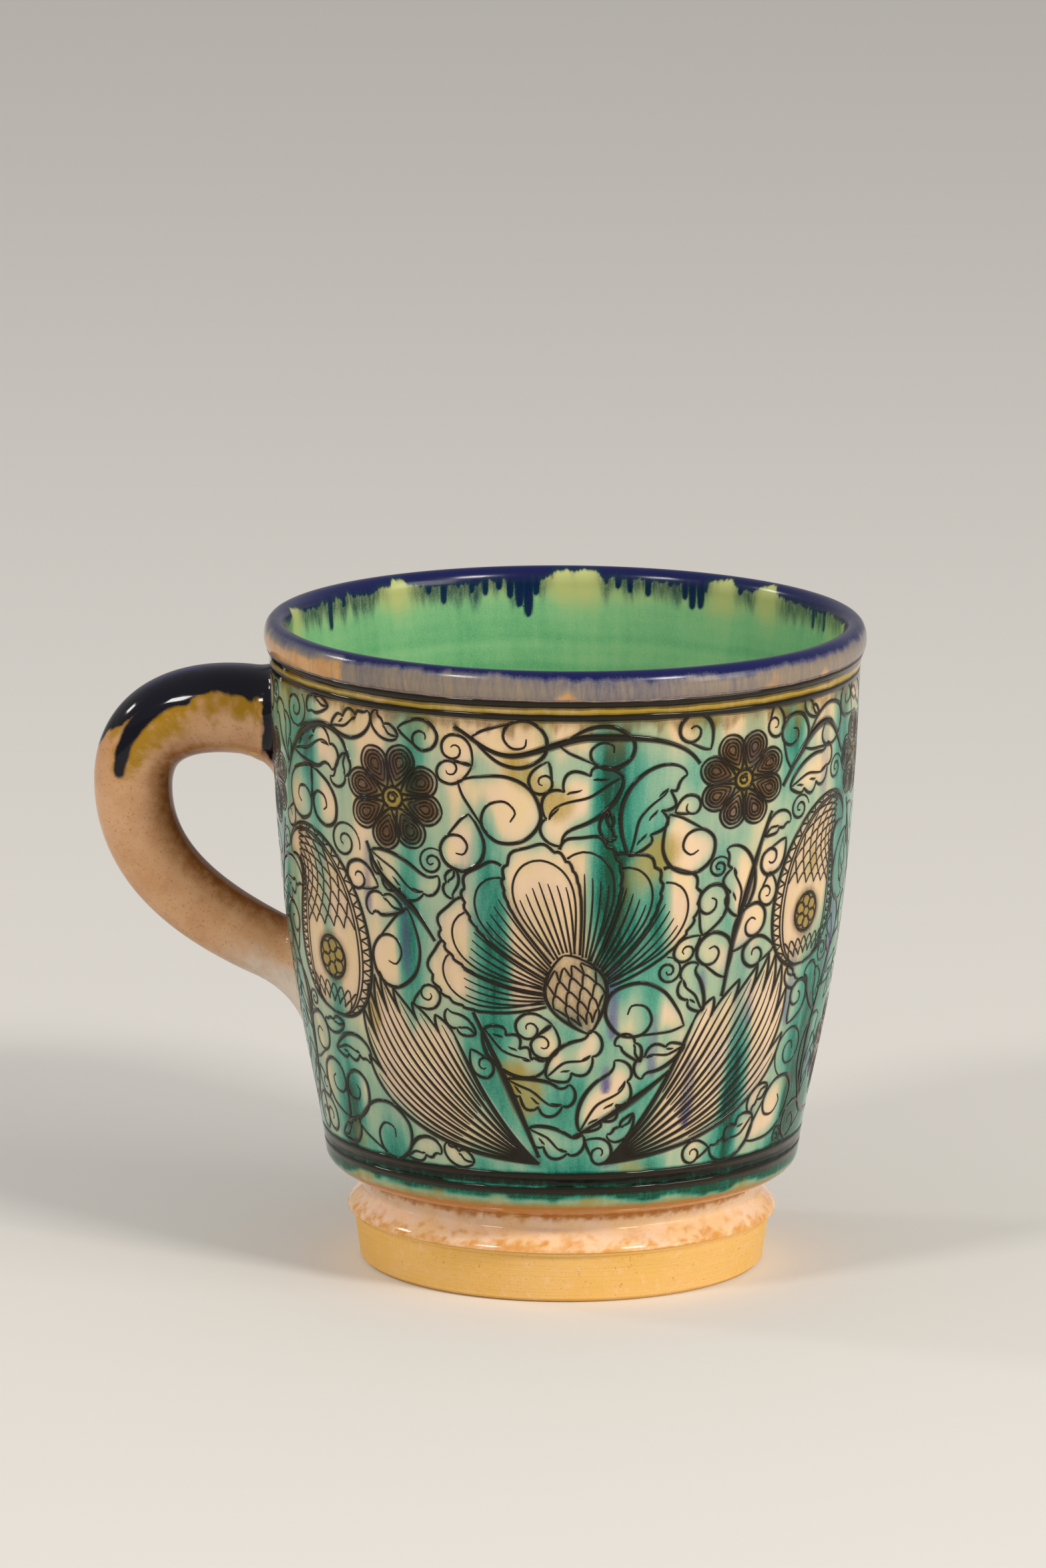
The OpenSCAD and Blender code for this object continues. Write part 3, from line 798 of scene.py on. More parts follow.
def crozier(rng, size):
    """A leaf that rolls in on itself: its outer line goes round a wide head and on inwards to a hook."""
    wide = hand(rng, 0.8, 1.05)
    scale = size * np.array([1.0, wide])
    outer = [(0, 0), (0.14, 0.15), (0.42, 0.33), (0.72, 0.33), (0.96, 0.1), (0.93, -0.2), (0.7, -0.37),
             (0.46, -0.29), (0.4, -0.08), (0.53, 0.07), (0.69, 0.03), (0.7, -0.1)]
    inner = [(0, 0), (0.12, -0.11), (0.28, -0.2), (0.47, -0.3)]
    drawing = Drawing()
    turn = 12 if size > 4.5 else 10
    drawing.line(spline(np.array(outer[:turn]) * scale, 0.3), 0.55 if size > 6 else 0.45, 0.35)
    drawing.line(spline(np.array(inner) * scale, 0.3), 0.42, 0.5)
    drawing.line(arc((0, 0), 0.14, 0, TURN), 0.42, 1.0)
    edge = spline(np.array(outer[:8] + inner[2:0:-1] + [(0, 0)]) * scale, 0.4)
    drawing.wash(edge, RESERVE, reserve_share(rng))
    return drawing, edge


def pair(rng, size):
    """Two curled leaves back to back on one root."""
    drawing = Drawing()
    edges = []
    for flip in (False, True):
        one, edge = crozier(rng, size)
        drawing.add(one, (0, 0), math.radians(-34 if flip else 34), 1.0, flip)
        mirror = np.array([1.0, -1.0 if flip else 1.0])
        edges.append(turned(edge * mirror, math.radians(-34 if flip else 34)))
    return drawing, edges


def tendril(rng, size):
    """A thin line that winds in to a knot."""
    drawing = Drawing()
    first = hand(rng, 0, TURN)
    line = arc((0, 0), size, first, first + TURN * 1.7, -size * 0.85)
    drawing.line(line, 0.4, 0.5, -0.4)
    drawing.line(line[-1] + arc((0, 0), 0.14, 0, TURN), 0.32, 1.0)
    return drawing, arc((0, 0), size, 0, TURN)[:-1]


def ringlet(rng, size):
    """A small ring that winds inwards."""
    drawing = Drawing()
    first = hand(rng, 0, TURN)
    drawing.line(arc((0, 0), size, first, first + TURN * 1.02), 0.38, 0.7)
    if size > 1.3:
        drawing.line(arc((0, 0), size * 0.62, first + 1, first + 1 + TURN * 0.8, -size * 0.4), 0.3)
    outline = arc((0, 0), size, 0, TURN)[:-1]
    drawing.wash(outline, RESERVE, 0.5)
    return drawing, outline


def rosette(rng, radius, petals=8):
    """A flower of nested petals round a ringed heart, darkly washed."""
    drawing = Drawing()
    heart = radius * 0.2
    for k in range(petals):
        angle = TURN * (k + 0.5) / petals
        reach = (radius - heart) * hand(rng, 0.95, 1.0)
        blade = Blade(reach, TURN * radius / petals * 0.7, hand(rng, -0.12, 0.12), 0, 0.64, 0.55)
        petal = Drawing()
        petal.line(blade.side(1), 0.42, 0.6)
        petal.line(blade.side(-1), 0.42, 0.6)
        middle = blade.at(0.6, 0.0)
        for share in (0.74, 0.5, 0.28):
            inner = middle + (blade.outline() - middle) * share
            petal.line(inner, 0.26, 0.8)
        petal.wash(blade.outline(), RESERVE)
        petal.wash(middle + (blade.outline() - middle) * 0.85, MANGANESE, 0.62)
        base = heart * np.array([math.cos(angle), math.sin(angle)])
        drawing.add(petal, base, angle)
    drawing.line(arc((0, 0), heart, 0, TURN * 1.02), 0.5, 0.8)
    drawing.line(arc((0, 0), heart * 0.55, 0, TURN * 1.3, -heart * 0.3), 0.4, 0.8)
    drawing.wash(arc((0, 0), heart * 1.5, 0, TURN), OCHRE, 0.9)
    drawing.wash(arc((0, 0), radius * 0.55, 0, TURN), MANGANESE, 0.35)
    return drawing, arc((0, 0), radius * 1.02, 0, TURN)[:-1]


def scales(blade, drawing, first, last, across, rows, count, width=0.3):
    """Rows of scallops over a blade, each row set off by half a scallop from the one before."""
    edges = np.linspace(first, last, rows + 1)
    for row in range(rows):
        shift = 0.5 * (row % 2)
        for k in range(-1, count):
            c0 = -1 + 2 * (k + shift) / count
            c1 = c0 + 2 / count
            c = np.linspace(c0, c1, 14)
            keep = np.abs(c) <= 1.001
            if keep.sum() < 5:
                continue
            dip = np.sin(math.pi * (c - c0) / (c1 - c0))[keep]
            along = edges[row] + (edges[row + 1] - edges[row]) * dip
            drawing.line(blade.at(along, c[keep] * across), width, 0.7)


def boteh(size):
    """A bent drop with a scalloped border, scales in its belly and a small flower low in it."""
    blade = Blade(size, size * 0.56, 0.35, 2.5, 0.3, 0.72)
    drawing = Drawing()
    for across, width in ((1.0, 0.6), (0.8, 0.32), (0.72, 0.32)):
        drawing.line(blade.side(across), width, 0.5)
        drawing.line(blade.side(-across), width, 0.5)
    for side in (-1, 1):
        count = int(size * 0.62)
        for k in range(count):
            t = np.linspace(k / count, (k + 1) / count, 10) * 0.86 + 0.04
            arch = 0.8 + 0.19 * np.sin(np.linspace(0, math.pi, 10))
            drawing.line(blade.at(t, side * arch), 0.26, 0.8)
    scales(blade, drawing, 0.42, 0.88, 0.7, 9, 5)
    scales(blade, drawing, 0.05, 0.14, 0.7, 2, 6)
    heart = blade.at(0.27, 0.0)
    drawing.line(heart + arc((0, 0), size * 0.1, 0, TURN * 1.01), 0.42, 0.8)
    for k in range(6):
        angle = TURN * k / 6
        drawing.line(heart + arc((size * 0.058 * math.cos(angle), size * 0.058 * math.sin(angle)),
                                 size * 0.034, angle, angle + TURN), 0.3, 0.8)
    drawing.wash(blade.outline(), RESERVE)
    drawing.wash(blade.outline(0.72), MANGANESE, 0.14)
    drawing.wash(heart + arc((0, 0), size * 0.1, 0, TURN), OCHRE, 0.8)
    drawing.wash(heart + arc((0, 0), size * 0.13, 0, TURN), MANGANESE, 0.4)
    return drawing, blade.outline(1.03)


def plume(size, bend, width=0.3):
    """A long toothed leaf: a double rib and veins that slant to the teeth."""
    side = np.sign(bend)
    teeth = int(size * 0.36)
    blade = Blade(size, size * width, bend, 0.8 * side, 0.42, 0.85, (teeth, teeth), 0.16)
    drawing = Drawing()
    drawing.line(blade.side(1), 0.55, 0.6)
    drawing.line(blade.side(-1), 0.55, 0.6)
    drawing.line(blade.side(0.06, 0, 0.96), 0.48, 0.5)
    drawing.line(blade.side(-0.06, 0, 0.9), 0.4, 0.5)
    count = teeth * 2
    for k in range(count):
        for across in (-1, 1):
            t = 0.03 + 0.86 * k / count
            slant = np.linspace(0, 1, 16)
            reach = 0.84 if k % 2 else 0.6
            along = t + 0.08 * slant ** 1.3
            spread = across * (0.08 + (reach - 0.08) * slant)
            drawing.line(blade.at(along, spread), 0.42 if k % 2 else 0.3, 0.5)
    drawing.wash(blade.outline(), RESERVE, 0.9)
    return drawing, blade.outline(1.03)


def palm(rng, size, bend, width=0.44, ribs=8):
    """A palm leaf: long ribs that spread from its root, with strips between them that end in points."""
    blade = Blade(size, size * width, bend, 0.5 * np.sign(bend), 0.68, 0.62)
    drawing = Drawing()
    strips = np.linspace(-1, 1, ribs + 1)
    middles = (strips[1:] + strips[:-1]) / 2
    ends = 0.8 - 0.3 * middles ** 2
    notches = np.interp(strips, middles, ends)
    for k, across in enumerate(strips):
        drawing.line(blade.side(across, 0.0, notches[k]), 0.7 if k in (0, ribs) else 0.52, 0.5, 0.1)
    edge = [blade.side(-1, 0, notches[0])]
    for k in range(ribs):
        reach = 0.14 * hand(rng, 0.85, 1.1)
        t = np.linspace(0, 1, 12)
        near = strips[k] + (middles[k] - strips[k]) * t ** 2
        far = strips[k + 1] + (middles[k] - strips[k + 1]) * t ** 2
        first = blade.at(notches[k] + (ends[k] + reach - notches[k]) * t, near)
        second = blade.at(notches[k + 1] + (ends[k] + reach - notches[k + 1]) * t, far)[::-1]
        drawing.line(first, 0.5, 0.6)
        drawing.line(second, 0.44, 0.6)
        drawing.line(blade.side(middles[k], 0.3, ends[k] + reach - 0.06), 0.32, 0.3)
        edge += [first, second]
    edge = np.concatenate(edge + [blade.side(1, 0, notches[-1])[::-1]])
    drawing.wash(edge, RESERVE, 0.95)
    return drawing, edge


def fan_flower(rng, size, petals=7, sweep=150):
    """A fan of toothed petals over a scaled cup. The middle petal lies on top, and the others are cut
    away where the ones above them cover them."""
    drawing = Drawing()
    covered = []
    cup = Blade(size * 0.42, size * 0.3, 0, 0, 0.55, 0.7)
    lower = Drawing()
    lower.line(cup.side(1), 0.5)
    lower.line(cup.side(-1), 0.5)
    scales(cup, lower, 0.12, 0.86, 0.92, 5, 4, 0.3)
    lower.wash(cup.outline(), RESERVE)
    lower.wash(cup.outline(), MANGANESE, 0.3)
    drawing.add(lower)
    covered.append(cup.outline())
    order = sorted(range(petals), key=lambda k: abs(k - (petals - 1) / 2))
    for k in order:
        angle = math.radians(sweep * (k / (petals - 1) - 0.5))
        blade = Blade(size * hand(rng, 0.74, 0.8), size * 0.34, -0.5 * angle, 0, 0.72, 0.5)
        petal = Drawing()
        edge = blade.outline()
        wave = np.abs(np.sin(math.pi * 26 * np.linspace(0, 1, len(edge))))
        teeth = 1 + 0.035 * wave * smooth(edge[:, 0], size * 0.3, size * 0.5)
        edge = edge * teeth[:, None]
        petal.line(edge, 0.46, 0.7)
        inner = blade.at(0.55, 0) + (blade.outline() - blade.at(0.55, 0)) * 0.82
        petal.line(inner, 0.3, 0.8)
        for across in np.linspace(-0.66, 0.66, 7):
            petal.line(blade.side(across, 0.15, 0.78 - 0.12 * abs(across)), 0.3, 0.5)
        base = np.array([size * 0.2, 0])
        placed = Drawing()
        petal.wash(edge, RESERVE)
        petal.wash(inner, MANGANESE, 0.12)
        placed.add(petal, base, angle)
        placed.cut(covered)
        drawing.add(placed)
        covered.append(turned(edge, angle) + base)
    return drawing, covered


def pomegranate(size):
    """A round fruit with a crown of three sepals, a netted heart and a rind of short slanting strokes."""
    drawing = Drawing()
    blade = Blade(size * 0.72, size * 0.7, 0, 0, 0.48, 0.5)
    middle = blade.at(0.5, 0)
    edge = evenly(blade.outline(), 0.5)
    drawing.line(edge, 0.6, 0.8)
    drawing.line(middle + (edge - middle) * 0.82, 0.36, 0.8)
    for k in range(0, len(edge) - 6, 4):
        first = middle + (edge[k] - middle) * 0.83
        drawing.line(np.linspace(first, middle + (edge[k + 3] - middle) * 0.97, 6), 0.32, 0.6)
    heart = Blade(size * 0.5, size * 0.42, 0, 0, 0.5, 0.6)
    net = Drawing()
    net.line(heart.outline(), 0.46, 0.8)
    scales(heart, net, 0.08, 0.86, 0.94, 6, 4, 0.36)
    net.wash(heart.outline(), MANGANESE, 0.5)
    drawing.add(net, (size * 0.11, 0))
    covered = [blade.outline()]
    for angle in (0.0, 0.75, -0.75):
        sepal = Blade(size * 0.34, size * 0.18, angle * 0.8, 0, 0.4, 0.8)
        one = Drawing()
        one.line(sepal.side(1), 0.46)
        one.line(sepal.side(-1), 0.46)
        one.line(sepal.side(0.3, 0.1, 0.8), 0.34)
        one.line(sepal.side(-0.3, 0.1, 0.8), 0.34)
        one.wash(sepal.outline(), RESERVE)
        placed = Drawing()
        placed.add(one, (size * 0.67, 0), angle)
        placed.cut(covered)
        drawing.add(placed)
        covered.append(turned(sepal.outline(), angle) + np.array([size * 0.67, 0]))
    drawing.wash(blade.outline(), RESERVE)
    return drawing, covered


class Cloth:
    """The unrolled field with the places that the ornament has taken, in cells of half a millimetre.
    It wraps from side to side."""

    def __init__(self, width, height, cell=0.5):
        self.cell = cell
        self.columns = int(round(width / cell))
        self.rows = int(round(height / cell))
        self.height = height
        self.taken = np.zeros((self.rows, self.columns), bool)

    def cells(self, outline):
        """Rows and columns of the cells inside an outline, and whether all of it is in the field."""
        low = np.floor(outline.min(0) / self.cell).astype(int) - 1
        high = np.ceil(outline.max(0) / self.cell).astype(int) + 1
        rows = np.arange(low[1], high[1] + 1)
        columns = np.arange(low[0], high[0] + 1)
        spots = np.stack(np.meshgrid((columns + 0.5) * self.cell, (rows + 0.5) * self.cell), -1)
        found = inside(spots, outline)
        row, column = np.nonzero(found)
        row = rows[row]
        keep = (row >= 0) & (row < self.rows)
        return row[keep], columns[column[keep]] % self.columns, keep.all()

    def room(self, outline, share=0.03):
        """Whether an outline lies in the field and at most a small share of it is taken."""
        row, column, within = self.cells(outline[::3])
        return within and len(row) > 0 and self.taken[row, column].mean() <= share

    def take(self, outline):
        """Takes the cells inside an outline."""
        row, column, _ = self.cells(outline[::2])
        self.taken[row, column] = True

    def take_line(self, line, reach=0.8):
        """Takes the cells near a line."""
        for shift in ((0, 0), (reach, 0), (-reach, 0), (0, reach), (0, -reach)):
            spot = ((line + np.asarray(shift)) / self.cell).astype(int)
            keep = (spot[:, 1] >= 0) & (spot[:, 1] < self.rows)
            self.taken[spot[keep, 1], spot[keep, 0] % self.columns] = True

    def space(self):
        """For each cell about how far it is to the nearest taken one, in millimetres: the taken cells
        grow a step at a time, by turns square and cornerwise, and each step adds to the count."""
        near = np.pad(self.taken, ((1, 1), (0, 0)), constant_values=True)
        far = np.zeros(near.shape)
        for step in range(24):
            free = ~near
            if not free.any():
                break
            far[free] += self.cell
            grown = near | np.roll(near, 1, 1) | np.roll(near, -1, 1)
            source = grown.copy() if step % 3 else near
            grown[1:] |= source[:-1]
            grown[:-1] |= source[1:]
            near = grown
        return far[1:-1]


def put(sheet, cloth, made, at, angle, flip=False, check=True, share=0.03):
    """Adds a motif to the sheet if its outlines find room in the field, and takes that room."""
    drawing, outlines = made
    outlines = outlines if isinstance(outlines, list) else [outlines]
    mirror = np.array([1.0, -1.0 if flip else 1.0])
    placed = [turned(o * mirror, angle) + np.asarray(at) for o in outlines]
    if check and not all(cloth.room(o, share) for o in placed):
        return False
    sheet.add(drawing, at, angle, 1.0, flip)
    for o in placed:
        cloth.take(o)
    return True


def stem(rng, sheet, cloth, points, width, leaf_size, spacing):
    """A stem through points, cut where the field is taken, with half palmettes that spring from either
    side by turns wherever there is room."""
    line = spline(points)
    spot = (line / cloth.cell).astype(int)
    row = np.clip(spot[:, 1], 0, cloth.rows - 1)
    hidden = cloth.taken[row, spot[:, 0] % cloth.columns] | (line[:, 1] < 0) | (line[:, 1] > cloth.height)
    for first, last in open_runs(hidden):
        if last - first < 6:
            continue
        piece = line[first:last]
        t = np.linspace(0, 1, len(piece))
        sheet.strokes.append((piece, width * (0.6 + 0.4 * np.sin(math.pi * t) + 0.12 * np.sin(9 * t + 3))))
        along = unit(np.gradient(piece, axis=0))
        run = lengths(piece)
        at = hand(rng, 1, 3)
        side = 1
        while at < run[-1] - 1:
            k = int(np.searchsorted(run, at))
            heading = math.atan2(along[k, 1], along[k, 0])
            for size in (leaf_size, leaf_size * 0.75, leaf_size * 0.55):
                size = size * hand(rng, 0.85, 1.2)
                rolled = rng.random() < 0.45
                made = crozier(rng, size * 0.78) if rolled else leaf(rng, size, side * hand(rng, 0.9, 1.5))
                root = piece[k] + side * 0.35 * np.array([-along[k, 1], along[k, 0]])
                turn = heading + side * hand(rng, 0.35, 0.6)
                if put(sheet, cloth, made, root, turn, rolled and side > 0):
                    break
            side = -side
            at += spacing * hand(rng, 0.8, 1.2) / 2
    cloth.take_line(line[~hidden])


def gap_filler(rng, long, angle_bend):
    """A leaf, a curled leaf, a pair, a tendril or a ring for a gap of so many millimetres."""
    pick = rng.random()
    if long > 8 and pick < 0.2:
        return pair(rng, long * 0.62)
    if long > 4.6 and pick < 0.7:
        return leaf(rng, long, angle_bend)
    if long > 3.4 and pick < 0.9:
        return crozier(rng, long * 0.85)
    if long > 4.4:
        return tendril(rng, long * 0.36)
    return crozier(rng, long * 0.9) if pick < 0.7 else ringlet(rng, long * 0.3)


def fill_gaps(rng, sheet, cloth, rounds=60):
    """Fills what is left, the widest gaps first: each round measures the gaps and tries a filler at
    several angles and sizes about the middle of each of the widest ones."""
    for _ in range(rounds):
        space = cloth.space()
        widest = space.max()
        if widest < LEAST_GAP:
            return
        rows, columns = np.nonzero(space >= max(LEAST_GAP, widest * 0.8))
        order = rng.permutation(len(rows))
        used = []
        for k in order:
            at = (np.array([columns[k], rows[k]]) + 0.5) * cloth.cell
            if any(np.hypot(*(at - other)) < 4.2 * widest for other in used):
                continue
            used.append(at)
            far = space[rows[k], columns[k]]
            fill_one(rng, sheet, cloth, at, far)


def fill_one(rng, sheet, cloth, at, far):
    """Puts the largest filler that fits about a point, or a ring where nothing else does."""
    for size in (4.8, 3.9, 3.1, 2.5):
        long = min(far * size, 16.0)
        for angle in rng.random(6) * TURN:
            flip = rng.random() < 0.5
            made = gap_filler(rng, long, hand(rng, 0.7, 1.6))
            reach = np.concatenate(made[1]) if isinstance(made[1], list) else made[1]
            middle = (reach.min(0) + reach.max(0)) / 2 * np.array([1, -1 if flip else 1])
            if put(sheet, cloth, made, at - turned(middle, angle), angle, flip, True, 0.02):
                return
    put(sheet, cloth, ringlet(rng, max(0.6, far * 0.62)), at, 0, False, False)
    cloth.take(arc(at, far * 0.9, 0, TURN))


def compose(seed, width, height):
    """The whole ornament. Two panels go round the mug: each has a large fan flower or pomegranate with
    plumes, bent drops on either side, rosettes between them and stems that wind through."""
    rng = np.random.default_rng(seed)
    sheet = Drawing()
    cloth = Cloth(width, height)
    half = width / 2
    for panel in range(2):
        left = panel * half
        middle = np.array([left + half / 2, height / 2])
        s = -1 if panel else 1
        main = fan_flower(rng, 31) if panel == 0 else pomegranate(34)
        put(sheet, cloth, main, middle + [4 * s, -13], math.radians(90 + 18 * s), False, False)
        if panel == 0:
            blades = [palm(rng, size, 0.75) for size in (47, 43)]
        else:
            blades = [plume(size, 1.0) for size in (46, 42)]
        put(sheet, cloth, blades[0], middle + [7 * s, -34], math.radians(90 - 66 * s), s < 0, False)
        put(sheet, cloth, blades[1], middle + [-4 * s, -34], math.radians(90 + 68 * s), s > 0, False)
        for place, size, angle, mirror in (((-42, -14), 33, 80, False), ((43, -6), 30, 96, True)):
            at = middle + np.array(place) * [s, 1]
            put(sheet, cloth, boteh(size), at, math.radians(90 + s * (angle - 90)), mirror == (s > 0), False)
        for place, radius in (((-26, 22), 8.6), ((27, 25), 7.8), ((-60, 20), 8.2), ((62, -22), 8.4),
                              ((-24, -24), 6.6), ((29, -26), 6.0), ((58, 24), 7.0)):
            flower = rosette(rng, radius, 8 if radius > 7 else 6)
            at = middle + np.array(place) * [s, 1]
            put(sheet, cloth, flower, at, hand(rng, 0, 1), False, True, 0.1)
        stems = [
            [(-66, -4), (-58, 6), (-48, 27), (-36, 30), (-30, 12), (-22, 4), (-14, -10), (-4, -33)],
            [(-4, -33), (14, -22), (24, -12), (27, 2), (34, 22), (46, 31), (58, 12), (66, -4)],
            [(-62, -33), (-54, -26), (-52, -12), (-60, 4)],
            [(66, -33), (52, -30), (50, -16), (58, 2)],
            [(-16, 34), (-8, 30), (4, 33), (18, 30), (24, 16)],
        ]
        for points in stems:
            points = np.array(points, float) * [s, 1] + middle
            stem(rng, sheet, cloth, points, 0.9, 12.5, 8.6)
    fill_gaps(rng, sheet, cloth)
    return sheet


class Canvas:
    """The painted outside, unrolled: for each cell of a quarter millimetre its pigments and its halo of
    ink. Columns go round the mug from a seam near the handle and rows go up from the shoulder."""

    CELL = FIELD_WIDTH / (2 * COLUMNS)

    def __init__(self, low, high):
        self.low = low
        self.columns = int(round(FIELD_WIDTH / self.CELL))
        self.rows = int(round((high - low) / self.CELL))
        self.z = low + (np.arange(self.rows) + 0.5) * self.CELL
        self.layers = np.zeros((6, self.rows, self.columns))

    def blurred(self, layer, across, up):
        """A layer blurred by bell curves of so many millimetres across and up: its waves are damped by
        the same curves, and its rows are mirrored first so that nothing wraps from top to bottom."""
        tall = np.concatenate([layer, layer[::-1]])
        rows = np.fft.fftfreq(len(tall), self.CELL)[:, None]
        columns = np.fft.rfftfreq(self.columns, self.CELL)[None, :]
        damp = np.exp(-2 * math.pi ** 2 * ((rows * up) ** 2 + (columns * across) ** 2))
        return np.fft.irfft2(np.fft.rfft2(tall) * damp, tall.shape)[:len(layer)]

    def noise(self, rng, across, up):
        """A random layer with features of about so many millimetres, from about 0 to 1."""
        layer = self.blurred(rng.standard_normal((self.rows, self.columns)), across / 2.5, up / 2.5)
        return np.clip(0.5 + 0.22 * layer / layer.std(), 0, 1)

    def lay_washes(self, washes, start):
        """Fills the outlines of washes into the layers of their pigments."""
        grid = Cloth(FIELD_WIDTH, self.rows * self.CELL, self.CELL)
        for outline, pigment, strength in washes:
            row, column, _ = grid.cells(outline[::2] + [0, start - self.low])
            layer = self.layers[pigment]
            layer[row, column] = np.maximum(layer[row, column], strength)

    def lay_lines(self, strokes, start):
        """Adds the strokes' ink to the halo layer, as much as their area."""
        for points, width in strokes:
            row = ((points[:, 1] + start - self.low) / self.CELL).astype(int)
            column = (points[:, 0] / self.CELL).astype(int) % self.columns
            keep = (row >= 0) & (row < self.rows)
            area = width[keep] * STROKE_STEP / self.CELL ** 2
            np.add.at(self.layers[HALO], (row[keep], column[keep]), area)

    def at(self, turn, z):
        """The layers at angles and heights, drawn evenly between cells."""
        u = (turn - FIELD_SEAM) * FIELD_RADIUS / self.CELL - 0.5
        v = np.clip((z - self.low) / self.CELL - 0.5, 0, self.rows - 1.001)
        i = v.astype(int)
        j = np.floor(u).astype(int)
        f = v - i
        g = u - j
        j = j % self.columns
        beside = (j + 1) % self.columns
        low = self.layers[:, i, j] * (1 - g) + self.layers[:, i, beside] * g
        high = self.layers[:, i + 1, j] * (1 - g) + self.layers[:, i + 1, beside] * g
        return (low * (1 - f) + high * f).T


def painted_canvas(skin, sheet, bands, seed):
    """Lays every wash and lets it run: copper between the reserved shapes, thicker in upright runs and low
    on the wall, brown in the dark flowers and round the lines, ochre and green in the bands, and thin
    cobalt that has run down from the lip. Under the shoulder, ochre and brown are laid as painted shade."""
    c = skin.cup
    rng = np.random.default_rng(seed + 20)
    canvas = Canvas(c.hem_height - 2, c.height)
    canvas.lay_washes(sheet.washes, bands.field_low)
    canvas.lay_lines(sheet.strokes, bands.field_low)
    copper, manganese, ochre, cobalt, reserve, halo = canvas.layers
    z = canvas.z[:, None]
    reserve[:] = canvas.blurred(reserve, 0.6, 1.3)
    halo[:] = np.clip(canvas.blurred(halo, 0.4, 0.5), 0, 1)
    broad = canvas.noise(rng, 22, 40)
    runs = canvas.noise(rng, 5.5, 34)
    threads = canvas.noise(rng, 1.6, 14)
    in_field = smooth(z, bands.field_low - 0.4, bands.field_low)
    in_field = in_field * smooth(bands.field_high + 0.4 - z, 0, 0.4)
    top = smooth(z, bands.field_high - 9, bands.field_high)
    thick = 0.44 + 0.5 * (broad - 0.5) + 0.85 * (runs - 0.5) + 0.3 * (threads - 0.5)
    thick += 0.14 * smooth(46 - z, 0, 24) - 0.26 * top + 0.1 * halo
    open_share = 1 - 0.97 * np.clip(reserve, 0, 1) * smooth(1.02 - runs, 0, 0.45)
    stain = np.clip(reserve, 0, 1) * (0.42 * smooth(runs, 0.52, 0.78) + 0.03)
    copper[:] = in_field * np.clip(np.clip(thick, 0.03, 0.95) * open_share + stain, 0, 1)
    manganese[:] = canvas.blurred(manganese, 0.3, 0.4) * (0.75 + 0.5 * threads) + 0.4 * halo * in_field
    ochre[:] = canvas.blurred(ochre, 0.5, 0.9) * 0.8
    patches = smooth(canvas.noise(rng, 9, 11), 0.82, 0.97) * 0.55
    ochre[:] = np.maximum(ochre, patches * in_field) + 0.3 * top * in_field * (0.5 + threads)
    fringe = bands.field_high - 0.5 - 2.6 * canvas.noise(rng, 0.9, 30) ** 2
    manganese[:] += 0.5 * smooth(z, fringe - 1.1, fringe + 0.7) * smooth(bands.field_high + 0.3 - z, 0, 0.3)
    yellow = smooth(z, bands.field_high, bands.field_high + 0.3)
    yellow = yellow * smooth(bands.upper_top + 0.25 - z, 0, 0.3)
    ochre[:] = np.maximum(ochre, yellow * (0.72 + 0.3 * (runs - 0.5)))
    copper[:] += 0.12 * yellow * threads
    green = smooth(z, bands.lower_line, bands.lower_line + 0.3) * smooth(bands.field_low - z, 0, 0.3)
    pool_low = bands.lower_bottom - 1.2 - 1.5 * (canvas.noise(rng, 7, 20) - 0.45) - 0.5 * (threads - 0.5)
    pool = smooth(z, pool_low - 0.25, pool_low + 0.6) * smooth(bands.lower_line + 0.2 - z, 0, 0.3)
    hem = smooth(z, pool_low - 1.5, pool_low - 0.2) * (1 - pool) * (z < bands.lower_bottom)
    copper[:] = np.maximum(np.maximum(copper, green), np.maximum(pool, 0.34 * hem))
    manganese[:] = np.maximum(manganese, 0.7 * green)
    spots = smooth(canvas.noise(rng, 5.0, 3.0), 0.5, 0.85) * (0.5 + threads)
    # Painted shade: below the pooled green, the shoulder's underside is laid darker with tan ochre and brown
    # manganese.
    underside_shade = smooth(bands.lower_bottom - 1.4 - z, 0, 0.9) * (1 - pool)
    ochre[:] = np.maximum(ochre, np.maximum((0.3 + 0.5 * spots) * hem, 0.6 * underside_shade))
    edge = smooth(pool_low + 0.9 - z, 0, 0.6) * (z < bands.lower_bottom)
    ochre[:] = np.maximum(ochre, 0.5 * spots * edge)
    manganese[:] += 0.4 * underside_shade
    around_mm = np.arange(canvas.columns)[None, :] * canvas.CELL
    for _ in range(26):
        middle = hand(rng, 0, FIELD_WIDTH)
        high = hand(rng, bands.field_low + 12, bands.field_high)
        long = hand(rng, 5, 16)
        wide = hand(rng, 0.7, 1.5)
        off = np.abs((around_mm - middle + FIELD_WIDTH / 2) % FIELD_WIDTH - FIELD_WIDTH / 2)
        fallen = np.clip((high - z) / long, 0, 1)
        half = wide * np.sqrt(np.clip(1 - fallen ** 5, 0, 1)) * (0.7 + 0.5 * fallen)
        one = smooth(half - off, -0.6, 0.8) * smooth(high - z, -0.5, 1.5) * (fallen < 1)
        cobalt[:] = np.maximum(cobalt, hand(rng, 0.4, 0.85) * one * (0.6 + 0.4 * fallen))
    lilac = smooth(canvas.noise(rng, 6, 16), 0.52, 0.85) * (1 - 0.6 * np.clip(copper, 0, 1))
    cobalt[:] = np.maximum(cobalt, 0.2 * lilac * (0.5 + threads) + 0.1 * halo) * in_field
    above = smooth(z, bands.upper_top + 0.7, bands.upper_top + 1.0)
    cobalt[:] = np.maximum(cobalt, 0.5 * above)
    manganese[:] = np.maximum(manganese, 0.5 * above)
    np.clip(canvas.layers, 0, 1, out=canvas.layers)
    return canvas


